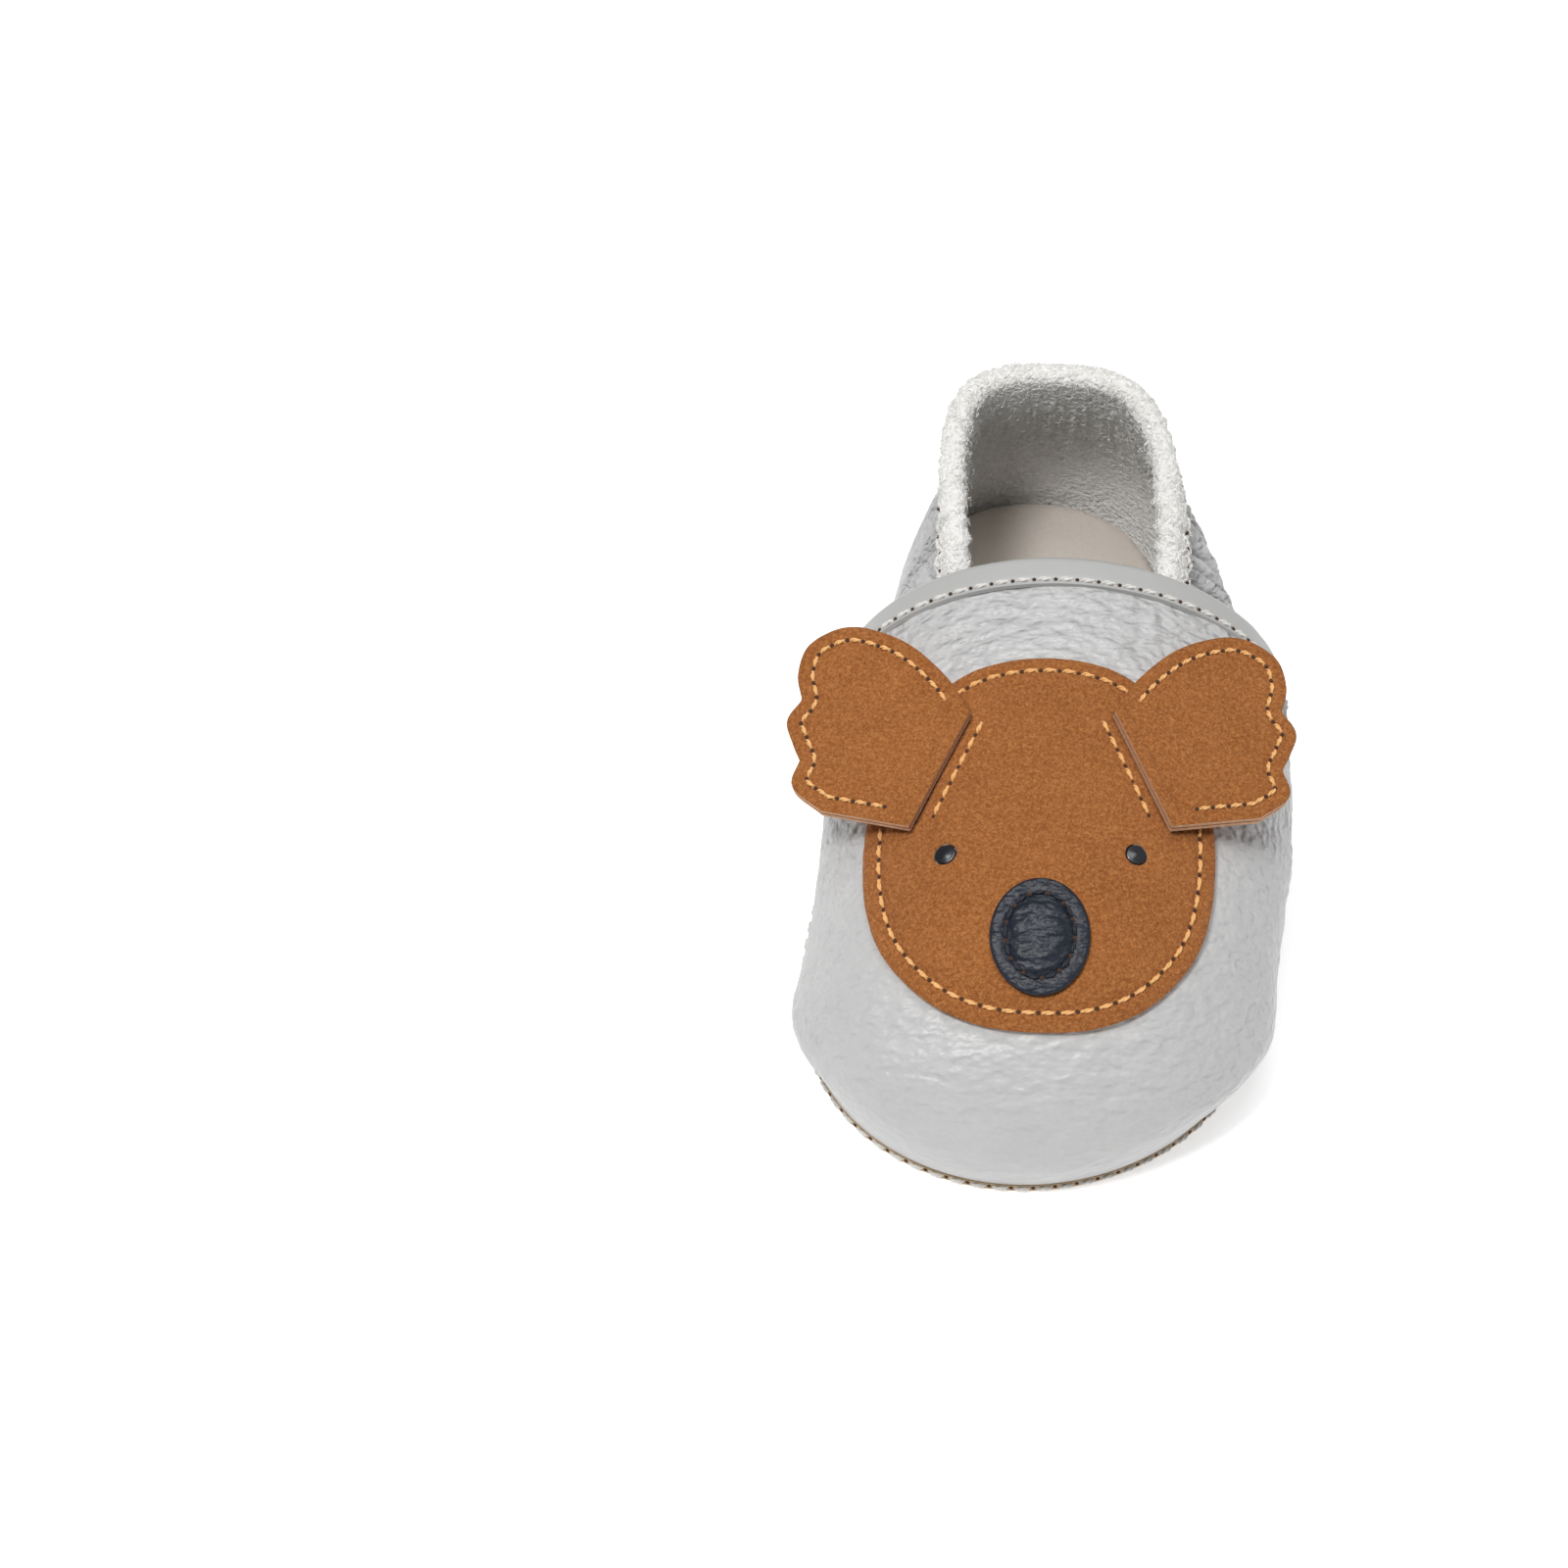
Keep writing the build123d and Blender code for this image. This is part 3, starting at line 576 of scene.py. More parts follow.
def cut_sheet(loops, place, low, high, cell, edge_round=0.25, relief=None):
    """A sheet cut to closed outlines, the first round it and the rest holes in it.

    place(x, y, lift) puts it in space. relief(x, y, depth) shapes its upper side, where depth is
    the distance in from the outline. The kind of a face is 0 above, 1 below and 2 round the edge.
    """
    lo, hi = loops[0].min(0) - cell, loops[0].max(0) + cell
    xs, ys = np.arange(lo[0], hi[0] + cell, cell), np.arange(lo[1], hi[1] + cell, cell)
    x, y = np.meshgrid(xs, ys, indexing="ij")
    d, fx, fy = outline_distance(x, y, loops)
    snap = np.abs(d) < cell * 0.5
    x, y, d = np.where(snap, fx, x), np.where(snap, fy, y), np.where(snap, 0.0, d)
    keep = d <= 0
    ids = -np.ones(x.shape, int)
    ids[keep] = np.arange(keep.sum())
    faces = []
    for i in range(x.shape[0] - 1):
        for j in range(x.shape[1] - 1):
            corners = [ids[i, j], ids[i + 1, j], ids[i + 1, j + 1], ids[i, j + 1]]
            real = [int(c) for c in corners if c >= 0]
            if len(real) >= 3:
                faces.append(real)
    used = sorted({v for f in faces for v in f})
    renumber = {v: k for k, v in enumerate(used)}
    faces = [[renumber[v] for v in f] for f in faces]
    px, py, depth = x[keep][used], y[keep][used], -d[keep][used]
    drop = edge_round * (1 - np.sqrt(np.clip(1 - (1 - np.clip(depth / edge_round, 0, 1)) ** 2, 0, 1)))
    top_lift = high - drop + (relief(px, py, depth) if relief else 0)
    count = len(px)
    points = np.vstack([place(px, py, top_lift), place(px, py, np.full(count, low))])
    sheet_faces = faces + [[v + count for v in reversed(f)] for f in faces]
    kind = [0] * len(faces) + [1] * len(faces)
    seen = {}
    for f in faces:
        for a, b in zip(f, f[1:] + f[:1]):
            seen[(a, b)] = True
    for a, b in list(seen):
        if (b, a) not in seen:
            sheet_faces.append([b, a, a + count, b + count])
            kind.append(2)
    return points, sheet_faces, kind


# ==== materials ====
def set_inputs(node, **inputs):
    """Sets inputs of a shader node. An underscore stands for a space in the input's name."""
    for key, value in inputs.items():
        node.inputs[key.replace("_", " ")].default_value = value
    return node


def mottled(nodes, links, place, base, variation):
    """The base colour, with other colours mixed in by noise."""
    colour = nodes.new("ShaderNodeRGB")
    colour.outputs[0].default_value = (*base, 1)
    current = colour.outputs[0]
    low, high = SPOT_RANGE
    for size, other, amount in variation:
        spots = set_inputs(nodes.new("ShaderNodeTexNoise"), Scale=1 / (size * MM), Detail=4)
        links.new(place.outputs["Object"], spots.inputs["Vector"])
        spread = set_inputs(nodes.new("ShaderNodeMapRange"), From_Min=low, From_Max=high, To_Max=amount)
        links.new(spots.outputs["Fac"], spread.inputs["Value"])
        mixer = nodes.new("ShaderNodeMix")
        mixer.data_type = "RGBA"
        links.new(spread.outputs["Result"], mixer.inputs["Factor"])
        links.new(current, mixer.inputs["A"])
        mixer.inputs["B"].default_value = (*other, 1)
        current = mixer.outputs["Result"]
    return current


def bump_texture(nodes, links, place, kind, size):
    """The height of one kind of bump: cells, waves or noise."""
    texture = nodes.new("ShaderNodeTexVoronoi" if kind == "cells" else "ShaderNodeTexNoise")
    texture.inputs["Scale"].default_value = 1 / (size * MM)
    where = place.outputs["Object"]
    if kind == "waves":
        squeeze = set_inputs(nodes.new("ShaderNodeMapping"), Scale=WAVE_SQUEEZE)
        links.new(where, squeeze.inputs["Vector"])
        where = squeeze.outputs["Vector"]
    links.new(where, texture.inputs["Vector"])
    if kind == "cells":
        texture.feature = "DISTANCE_TO_EDGE"
        return texture.outputs["Distance"]
    texture.inputs["Detail"].default_value = TEXTURE_DETAIL[kind]
    return texture.outputs["Fac"]


def bumped(nodes, links, place, bumps, marked):
    """The normal that all the bumps together give."""
    if marked:
        mark = nodes.new("ShaderNodeAttribute")
        mark.attribute_name = "mark"
    normal = None
    for kind, size, height, strength in bumps:
        bump = set_inputs(nodes.new("ShaderNodeBump"), Strength=strength, Distance=height * MM)
        links.new(bump_texture(nodes, links, place, kind, size), bump.inputs["Height"])
        if marked:
            scale = nodes.new("ShaderNodeMath")
            scale.operation = "MULTIPLY"
            scale.inputs[1].default_value = strength
            links.new(mark.outputs["Fac"], scale.inputs[0])
            links.new(scale.outputs["Value"], bump.inputs["Strength"])
        if normal is not None:
            links.new(normal, bump.inputs["Normal"])
        normal = bump.outputs["Normal"]
    return normal


def material(name, base, rough, variation=(), bumps=(), sheen=0.0, specular=0.5, marked=False):
    """A procedural material.

    variation: (size mm, colour, amount). bumps: (kind, size mm, height mm, strength).
    Where marked is set, the mesh's own marks scale the bumps.
    """
    made = bpy.data.materials.new(name)
    made.use_nodes = True
    nodes, links = made.node_tree.nodes, made.node_tree.links
    shader = nodes["Principled BSDF"]
    set_inputs(shader, Roughness=rough, Sheen_Weight=sheen, Sheen_Roughness=0.5, Specular_IOR_Level=specular)
    place = nodes.new("ShaderNodeTexCoord")
    links.new(mottled(nodes, links, place, base, variation), shader.inputs["Base Color"])
    if bumps:
        links.new(bumped(nodes, links, place, bumps, marked), shader.inputs["Normal"])
    return made


def make_materials():
    return {
        "grain": material("grey_grain_leather", (0.50, 0.50, 0.497), 0.42,
                          [(9, (0.46, 0.46, 0.462), 0.5), (0.9, (0.44, 0.442, 0.447), 0.35)],
                          [("waves", 1.6, 1.5, 1.0), ("cells", 1.1, 0.14, 0.6), ("noise", 0.4, 0.07, 0.4)],
                          specular=0.4, marked=True),
        "flesh": material("grey_flesh_side", (0.86, 0.85, 0.825), 0.95,
                          [(0.7, (0.50, 0.49, 0.46), 0.45), (5, (0.88, 0.87, 0.845), 0.4)],
                          [("noise", 0.7, 0.9, 0.9)], sheen=0.3, specular=0.1),
        "band": material("grey_binding_leather", (0.41, 0.41, 0.40), 0.42,
                         [(6, (0.42, 0.42, 0.415), 0.4)], [("noise", 0.4, 0.03, 0.35)], specular=0.4),
        "suede": material("brown_suede", (0.33, 0.119, 0.033), 0.95,
                          [(8, (0.25, 0.082, 0.021), 0.6), (0.55, (0.52, 0.22, 0.075), 0.6),
                           (0.3, (0.15, 0.045, 0.011), 0.6)],
                          [("noise", 0.8, 0.6, 0.7), ("noise", 0.3, 0.25, 0.6)], sheen=0.08, specular=0.05),
        "cut": material("suede_cut_edge", (0.60, 0.37, 0.24), 0.95,
                        [(0.5, (0.45, 0.23, 0.12), 0.5)], [("noise", 0.2, 0.15, 0.7)], specular=0.08),
        "navy": material("dark_nose_leather", (0.012, 0.016, 0.026), 0.46,
                         [(1.2, (0.011, 0.014, 0.022), 0.6)],
                         [("waves", 1.1, 0.6, 0.9), ("cells", 0.7, 0.10, 0.6)], specular=0.34),
        "eye": material("dark_eye_leather", (0.010, 0.011, 0.015), 0.28,
                        [(0.6, (0.016, 0.018, 0.024), 0.5)], [("noise", 0.5, 0.06, 0.5)], specular=0.6),
        "insole": material("insole_cloth", (0.52, 0.47, 0.42), 0.9,
                           [(0.6, (0.44, 0.39, 0.345), 0.4), (14, (0.56, 0.51, 0.46), 0.5)],
                           [("noise", 0.25, 0.05, 0.4)], sheen=0.2, specular=0.1),
        "sole": material("sole_suede", (0.50, 0.36, 0.22), 0.95,
                         [(11, (0.40, 0.275, 0.16), 0.55), (1.3, (0.58, 0.45, 0.31), 0.5)],
                         [("noise", 1.2, 0.25, 0.7)], sheen=0.1, specular=0.08),
        "foam": material("foam_sheet", (0.80, 0.79, 0.76), 0.9, [(0.8, (0.70, 0.69, 0.66), 0.4)],
                         [("cells", 0.4, 0.05, 0.5)], specular=0.1),
        "lining": material("thin_lining", (0.66, 0.65, 0.62), 0.9, [(0.6, (0.58, 0.57, 0.54), 0.4)],
                           [("noise", 0.3, 0.05, 0.4)], specular=0.1),
        "elastic": material("woven_elastic", (0.82, 0.82, 0.80), 0.8, [(0.5, (0.70, 0.70, 0.69), 0.4)],
                            [("cells", 0.4, 0.06, 0.5)], specular=0.2),
        "orange": material("orange_thread", (0.82, 0.46, 0.18), 0.6, [(0.4, (0.60, 0.30, 0.09), 0.5)],
                           [("noise", 0.15, 0.03, 0.4)], sheen=0.2, specular=0.3),
        "black": material("black_thread", (0.018, 0.019, 0.026), 0.6, [(0.4, (0.035, 0.037, 0.045), 0.5)],
                          [("noise", 0.15, 0.03, 0.4)], specular=0.25),
        "grey": material("grey_thread", (0.70, 0.685, 0.65), 0.6, [(0.4, (0.56, 0.55, 0.52), 0.5)],
                         [("noise", 0.15, 0.03, 0.4)], specular=0.25),
        # painted shade: dark brown plugs stand in for the shade inside the needle holes
        "hole": material("needle_hole_painted_shade", (0.045, 0.018, 0.008), 0.95, [(0.3, (0.075, 0.032, 0.015), 0.5)]),
        "fluff": material("loose_fibre", (0.86, 0.85, 0.82), 0.9, [(0.9, (0.68, 0.675, 0.65), 0.5)],
                          sheen=0.3, specular=0.1),
    }


MATERIALS = make_materials()


# ==== stitches ====
def on_path(s, lengths, path):
    """The path's values at the lengths s along it."""
    return np.stack([np.interp(s, lengths, column) for column in path.T], -1)


def add_ring(points, centre, across, up, radius, sides):
    """One more ring of a tube."""
    for k in range(sides):
        a = 2 * pi * k / sides
        points.append(centre + radius * (np.cos(a) * across + np.sin(a) * up))


def tube_faces(first, rings, sides):
    """Faces of a closed tube whose rings follow one another, from the point of that number."""
    faces = []
    for q in range(rings - 1):
        for k in range(sides):
            a, b = first + q * sides + k, first + q * sides + (k + 1) % sides
            faces.append([a, b, b + sides, a + sides])
    last = first + (rings - 1) * sides
    return faces + [[first + k for k in reversed(range(sides))], [last + k for k in range(sides)]]


def arc_length(path):
    return np.concatenate([[0], np.cumsum(np.linalg.norm(np.diff(path, axis=0), axis=1))])


def stitches(name, path, normals, pitch, colour, body, node, keep=None):
    """A row of two-ply stitches along a dense path, ending in dark plugs of painted needle-hole shade."""
    lengths = arc_length(path)
    count = max(int(round(lengths[-1] / pitch)), 1)
    t = np.linspace(-1, 1, STATIONS)
    rise = THREAD_RADIUS * (THREAD_RISE * (1 - t ** 4) - THREAD_SINK)
    radius = THREAD_RADIUS * PLY_RADIUS * (1 - PLY_TAPER * t ** 6)
    points, faces, kind = [], [], []
    for i in range(count):
        s = (i + STITCH_SHARE * np.linspace(0, 1, STATIONS)) / count * lengths[-1]
        middle = on_path(s, lengths, path)
        up = unit(on_path(s, lengths, normals))
        if keep is not None and not keep(middle):
            continue
        along = unit(np.gradient(middle, axis=0))
        beside = unit(np.cross(along, up))
        middle = middle + up * rise[:, None]
        for ply in (0, pi):
            twist = (ply + t * THREAD_TWIST)[:, None]
            centre = middle + THREAD_RADIUS * PLY_OFFSET * (np.cos(twist) * beside + np.sin(twist) * up)
            faces += tube_faces(len(points), STATIONS, PLY_SIDES)
            for c, b, u, r in zip(centre, beside, up, radius):
                add_ring(points, c, b, u, r, PLY_SIDES)
        kind += [0] * (len(faces) - len(kind))
        # a dark plug of painted shade stands for the needle hole past the stitch's end
        hole = middle[-1] + along[-1] * pitch * (1 - STITCH_SHARE) * 0.5 - up[-1] * HOLE_SINK
        faces += tube_faces(len(points), len(HOLE_LEVELS), HOLE_SIDES)
        for level in HOLE_LEVELS:
            add_ring(points, hole + up[-1] * level, beside[-1], along[-1], HOLE_RADIUS, HOLE_SIDES)
        kind += [1] * (len(faces) - len(kind))
    new_piece(name, np.array(points), faces, body, [colour, "hole"],
              [node], kind)


# ==== soles ====
def insole_inset(angle):
    turned = np.abs((angle + pi) % (2 * pi) - pi)
    grows, goes = (ramp(turned, start, FRONT_INSET_RUN) for start in FRONT_INSET_ANGLES)
    return INSOLE_INSET + FRONT_INSET * grows * (1 - goes)


def sole_loop(inset):
    angles = np.linspace(0, 2 * pi, 240, endpoint=False)
    x, y = sole_edge(angles, inset(angles) if callable(inset) else inset)
    return np.stack([x, y], -1)


def flat_place(x, y, z):
    return np.stack([x, y, np.broadcast_to(z, np.shape(x))], -1)


def make_soles():
    def nap(x, y, _):
        return 0.04 * fractal(np.stack([x, y, 0 * x], -1), 3.0)

    points, faces, _ = cut_sheet([sole_loop(0)], flat_place, 0, OUTSOLE_THICK, SOLE_CELL, 0.3)
    piece = new_piece("outsole_suede", points, faces, "shoe",
                      ["sole"], ["outsole"])
    low = OUTSOLE_THICK + GAP
    points, faces, _ = cut_sheet([sole_loop(insole_inset)], flat_place, low, low + FOAM_THICK, FOAM_CELL)
    foam = new_piece("foam_sheet", points, faces, "shoe", ["foam"], ["foam_midsole"])
    low = low + FOAM_THICK + GAP
    points, faces, _ = cut_sheet(
        [sole_loop(insole_inset)], flat_place, low, low + INSOLE_THICK, SOLE_CELL, 0.5, nap)
    cloth = new_piece("insole_cloth", points, faces, "shoe", ["insole"], ["insole"])


# ==== vamp ====
def wrinkle_strength(along):
    """How deep the leather is wrinkled: nearly smooth low on the toe, most at the throat."""
    return 0.26 + 0.36 * ramp(along, 0.10, 0.22) + 0.38 * ramp(along, 0.58, 0.25)


def leather_relief(points, along):
    """Creases and pebbled grain of the toe piece."""
    soft = 0.22 * fractal(points, 12, 2)
    wrinkle = fractal(points, 3.2, 2, (2.4, 1.0, 1.0))
    grain = pebbles(points, 2.1, (1.8, 1.0, 1.0)) - 0.5
    patches = 0.6 + 0.4 * np.clip(fractal(points, 16, 2) * 2, -1, 1)
    return soft + wrinkle_strength(along) * patches * (0.42 * wrinkle + 0.12 * grain)


def make_vamp():
    rows, columns, step = 277, 301, 4
    along, across = grid((0, 1, rows), (0, 1, columns))
    base = vamp_base(along, across)
    border = ramp(along, 0, EDGE_RUN) * ramp(1 - along, 0, EDGE_RUN)
    outer = vamp_point(along, across, HALF + leather_relief(base, along) * border)
    inner = vamp_point(along[::step, ::step], across[::step, ::step], -HALF)
    points, faces, kind = shell(outer, inner)
    marks = np.concatenate([wrinkle_strength(along).ravel(), np.ones(inner.size // 3)])
    piece = new_piece("vamp_leather", points, faces, "shoe",
                      ["grain", "flesh", "flesh"], ["vamp"], kind, marks)


def make_lining():
    along, across = grid((0, LINING_REACH, 81), (0, 1, 101))
    outer = vamp_point(along, across, -HALF - GAP)
    inner = vamp_point(along, across, -HALF - GAP - LINING_THICK)
    points, faces, _ = shell(outer, inner)
    piece = new_piece("toe_lining", points, faces, "shoe", ["lining"], ["vamp_lining"])


def make_binding():
    across, along = grid((0, 1, 361), (0, 1, 73))
    ripple = 0.05 * fractal(np.stack([across * 110, along * 9, 0 * across], -1), 4.0)
    dent = -0.14 * np.exp(-((along - 0.08) / 0.05) ** 2)
    outer = binding_point(across, along, BINDING_THICK / 2 + ripple + dent)
    inner = binding_point(across, along, -BINDING_THICK / 2)
    points, faces, _ = shell(outer, inner)
    piece = new_piece("throat_band", points, faces, "shoe", ["band"],
                      ["throat_binding"])


# ==== heel quarter and collar ====
def make_quarter(fluff):
    around, along = grid((-1, 1, 401), (0, 1, 161))
    flat = quarter_point(around, along, 0 * around)
    crumple = np.clip(np.abs(fractal(flat, 3.2, 3)) / 0.22, 0, 1) ** 0.7 - 1
    gathered = gather_strength(around) * ramp(along, 0.2 * WALL_SHARE, 0.5 * WALL_SHARE)
    grain = 0.06 * (pebbles(flat, 1.3) - 0.5) + 0.12 * fractal(flat, 9, 2)
    grain = grain + (0.05 + 0.55 * gathered) * crumple
    fuzz = 0.20 * fractal(flat, 1.0, 3)
    seam = blend(along / 0.03)
    grain_side = quarter_point(around, along, HALF + grain * seam)
    flesh_side = quarter_point(around[::2, ::2], along[::2, ::2], -HALF - (fuzz * seam)[::2, ::2])
    points, faces, kind = shell(grain_side, flesh_side)
    marks = np.full(len(points), 0.8)
    piece = new_piece("heel_leather", points, faces, "shoe",
                      ["grain", "flesh", "flesh"], ["heel_quarter"], kind, marks)


def make_elastic():
    around, width = grid((-1, 1, 241), (0, ELASTIC_SPREAD, 13))
    ribs = 0.04 * np.sin(around * 300)
    rim, rise, away = rim_frame(around)
    wave = pucker(around, np.ones_like(around))
    height = ELASTIC_DROP - ELASTIC_WIDTH * width

    def side(lift):
        return rim + rise * height[..., None] + away * (FOLD_RADIUS + wave + lift)[..., None]

    points, faces, _ = shell(side(ELASTIC_THICK / 2 + ribs), side(-ELASTIC_THICK / 2 + ribs))
    new_piece("elastic_band", points, faces, "shoe", ["elastic"], ["collar_elastic"])


def make_fluff():
    """Short curled fibres of the flesh side, on the folded rim and inside the heel."""
    total = FIBRES_ON_RIM + FIBRES_INSIDE
    around = RANDOM.uniform(-0.97, 0.97, total)
    along = np.where(np.arange(total) < FIBRES_ON_RIM, RANDOM.uniform(0.6, 1.0, total),
                     0.25 + 0.35 * np.sqrt(RANDOM.uniform(0, 1, total)))
    root = quarter_point(around, along, np.full(total, -HALF + 0.02))
    outside = quarter_point(around, along, np.full(total, -HALF - 0.3))
    up = unit(outside - root)
    drift = unit(RANDOM.normal(size=(total, 3)))
    drift = unit(drift - up * np.sum(drift * up, -1, keepdims=True))
    long = RANDOM.uniform(0.35, 0.85, total)[:, None]
    line = [root, root + up * 0.22 * long + drift * 0.3 * long,
            root + up * 0.34 * long + drift * 0.75 * long, root + up * 0.16 * long + drift * 1.05 * long]
    beside = np.cross(up, drift)
    points, faces = [], []
    for centre, radius in zip(line, FIBRE_RADII):
        add_ring(points, centre, beside, up, radius, FIBRE_SIDES)
    points = np.stack(points, 1).reshape(-1, 3)
    for i in range(total):
        faces += tube_faces(i * len(FIBRE_RADII) * FIBRE_SIDES, len(FIBRE_RADII), FIBRE_SIDES)
    return new_piece("collar_fluff", points, faces, "shoe", ["fluff"])


# ==== face ====
def face_loop():
    right = [(FACE_X + x, y) for x, y in FACE_HALF_OUTLINE]
    left = [(FACE_X - x, y) for x, y in FACE_HALF_OUTLINE[-2:0:-1]]
    return smooth_closed(right + left, 220)


def circle_loop(cx, cy, rx, ry, count=48):
    a = np.linspace(0, 2 * pi, count, endpoint=False)
    return np.stack([cx + rx * np.cos(a), cy + ry * np.sin(a)], -1)


def eye_loop(side, radius):
    return circle_loop(FACE_X + side * EYE_SPREAD, EYE_Y, radius, radius)


def slit_loop(side):
    (x0, y0), (x1, y1) = EAR_BASE_TOP, EAR_BASE_LOW
    down = unit(np.array([x1 - x0, y1 - y0]))
    inward = np.array([down[1], -down[0]])
    top, low = np.array([x0, y0]) + inward * SLIT_START, np.array([x1, y1]) + inward * SLIT_START
    corners = [top, low, low + inward * SLIT_WIDTH, top + inward * SLIT_WIDTH]
    return np.array([(FACE_X + side * c[0], c[1]) for c in corners])


def suede_relief(x, y, depth):
    """A shallow groove along the seam, and the nap."""
    groove = -SUEDE_GROOVE * np.exp(-((depth - SEAM_INSET) / 0.5) ** 2)
    return groove + SUEDE_NAP * fractal(np.stack([x, y, 0 * x], -1), 1.6, 3)


def make_face():
    loops = [face_loop()] + [slit_loop(s) for s in SIDES.values()]
    loops += [eye_loop(s, EYE_HOLE_RADIUS) for s in SIDES.values()]
    whole = loops[0]

    def relief(x, y, _):
        d = outline_distance(x, y, [whole])[0]
        return suede_relief(x, y, -d)

    points, faces, kind = cut_sheet(loops, on_vamp, PATCH_LOW, PATCH_HIGH, SUEDE_CELL, SUEDE_ROUND, relief)
    piece = new_piece("face_suede", points, faces, "shoe",
                      ["suede", "suede", "cut"], ["face_patch"], kind)


def make_nose():
    low = PATCH_HIGH + GAP

    def relief(x, y, depth):
        flat = np.stack([x, y, 0 * x], -1)
        puff = NOSE_PUFF * ramp(depth, NOSE_SEAM_INSET, 2.6)
        groove = -NOSE_GROOVE * np.exp(-((depth - NOSE_SEAM_INSET) / 0.45) ** 2)
        wrinkle = fractal(flat, 1.5, 2, (1.9, 0.8, 1)) * NOSE_WRINKLE * ramp(depth, NOSE_SEAM_INSET, 1.2)
        return puff + groove + wrinkle

    loop = circle_loop(*NOSE_CENTRE, *NOSE_RADII, 96)
    points, faces, _ = cut_sheet([loop], on_vamp, low, low + NOSE_THICK, NOSE_CELL, 0.35, relief)
    piece = new_piece("nose_leather", points, faces, "shoe", ["navy"],
                      ["nose_patch"])


def make_eye(name, side):
    def dome(_x, _y, depth):
        return EYE_DOME * blend(depth / EYE_DOT_RADIUS)

    loop = eye_loop(side, EYE_DOT_RADIUS)
    high = PATCH_HIGH - EYE_SUNK
    points, faces, _ = cut_sheet([loop], on_vamp, PATCH_LOW, high, EYE_CELL, 0.15, dome)
    new_piece(f"{name}_eye", points, faces, "shoe", ["eye"], [f"{name}_eye_dot"])


def ear_plane(side):
    """Origin of the ear's own plane, then its axes: along the base, out of the head, and up."""
    lift = PATCH_HIGH + EAR_CLEARANCE + EAR_LAYER_THICK
    ends = [on_vamp(np.array([FACE_X + side * x]), np.array([y]), np.array([lift]))[0]
            for x, y in (EAR_BASE_TOP, EAR_BASE_LOW)]
    base = unit(ends[1] - ends[0])
    level = np.array([side, 0, 0], float)
    out = unit(level - base * (level @ base))
    normal = unit(np.cross(base, out)) * side
    out = out * np.cos(EAR_DROOP) - normal * np.sin(EAR_DROOP)
    return ends[0], base, out, unit(np.cross(base, out)) * side


def ear_loop():
    tip = smooth_open(EAR_OUTLINE + EAR_MIDDLE_LOBE[:1], 60)
    middle = smooth_open(EAR_MIDDLE_LOBE, 16)[1:]
    lower = smooth_open(EAR_LOWER_LOBE, 22)
    base = np.array([EAR_LOWER_CORNER])
    return np.vstack([tip, middle, lower, base])


def make_ear(name, side):
    origin, base, out, up = ear_plane(side)

    def place(x, y, lift):
        curl = EAR_CURL * np.sin(y / EAR_LENGTH * pi) * ramp(y, 0, 8)
        return origin + x[:, None] * base + y[:, None] * out + (lift + curl)[:, None] * up

    loop = ear_loop()
    for layer, low in (("front", GAP / 2), ("back", -GAP / 2 - EAR_LAYER_THICK)):
        relief = suede_relief if layer == "front" else None
        points, faces, kind = cut_sheet(
            [loop], place, low, low + EAR_LAYER_THICK, SUEDE_CELL, SUEDE_ROUND, relief)
        piece = new_piece(
            f"{name}_ear_{layer}_suede", points, faces, f"{name}_ear",
            ["suede", "suede", "cut"], [f"{name}_ear_{layer}"], kind)
    seam = inset_loop(loop, SEAM_INSET)
    height = GAP / 2 + EAR_LAYER_THICK - EAR_SEAM_SINK
    path = place(seam[:, 0], seam[:, 1], height)
    clear = origin + out * (EAR_SEAM_BASE_GAP + SEAM_INSET)
    stitches(f"{name}_ear_seam", path, np.tile(up, (len(path), 1)), EAR_PITCH, "orange",
             f"{name}_ear", f"{name}_ear_stitching", lambda m: ((m - clear) @ out).min() > 0)


def inset_loop(loop, inset):
    """The outline moved inwards, with points that come too near it dropped."""
    dense = np.vstack([loop, loop[:1]])
    s = arc_length(np.hstack([dense, np.zeros((len(dense), 1))]))
    even = np.linspace(0, s[-1], 400, endpoint=False)
    p = on_path(even, s, dense)
    t = unit(np.roll(p, -1, 0) - np.roll(p, 1, 0))
    area = np.sum(p[:, 0] * np.roll(p[:, 1], -1) - np.roll(p[:, 0], -1) * p[:, 1])
    inward = np.stack([-t[:, 1], t[:, 0]], -1) * np.sign(area)
    moved = p + inward * inset
    d = outline_distance(moved[:, 0], moved[:, 1], [loop])[0]
    nearest = 0.93 * inset
    moved = moved[-d > nearest]
    return np.vstack([moved, moved[:1]])


# ==== stitch rows ====
def shoe_row(name, line, pitch, colour, node):
    """A row on the shoe. line(rise) is its path, raised by that much off the surface."""
    low, high = line(0), line(0.5)
    stitches(name, low, unit(high - low), pitch, colour, "shoe", node)


def plan_row(name, loop, inset, lift, pitch, colour, node):
    """A row on the vamp, inside an outline of the floor plan."""
    seam = inset_loop(loop, inset)
    shoe_row(name, lambda rise: on_vamp(seam[:, 0], seam[:, 1], lift + rise), pitch, colour, node)


def make_anchor_row(name, side):
    """The row on the face that holds an ear, beside its base line."""
    t = np.linspace(*ANCHOR_ENDS, 60)
    (x0, y0), (x1, y1) = EAR_BASE_TOP, EAR_BASE_LOW
    across, down = unit(np.array([y1 - y0, x0 - x1]))
    x = FACE_X + side * (x0 + (x1 - x0) * t + across * ANCHOR_OFFSET)
    y = y0 + (y1 - y0) * t + down * ANCHOR_OFFSET
    shoe_row(f"{name}_ear_anchor_seam", lambda rise: on_vamp(x, y, PATCH_HIGH - ANCHOR_SINK + rise),
             FACE_PITCH, "orange", f"{name}_ear_anchor_stitching")


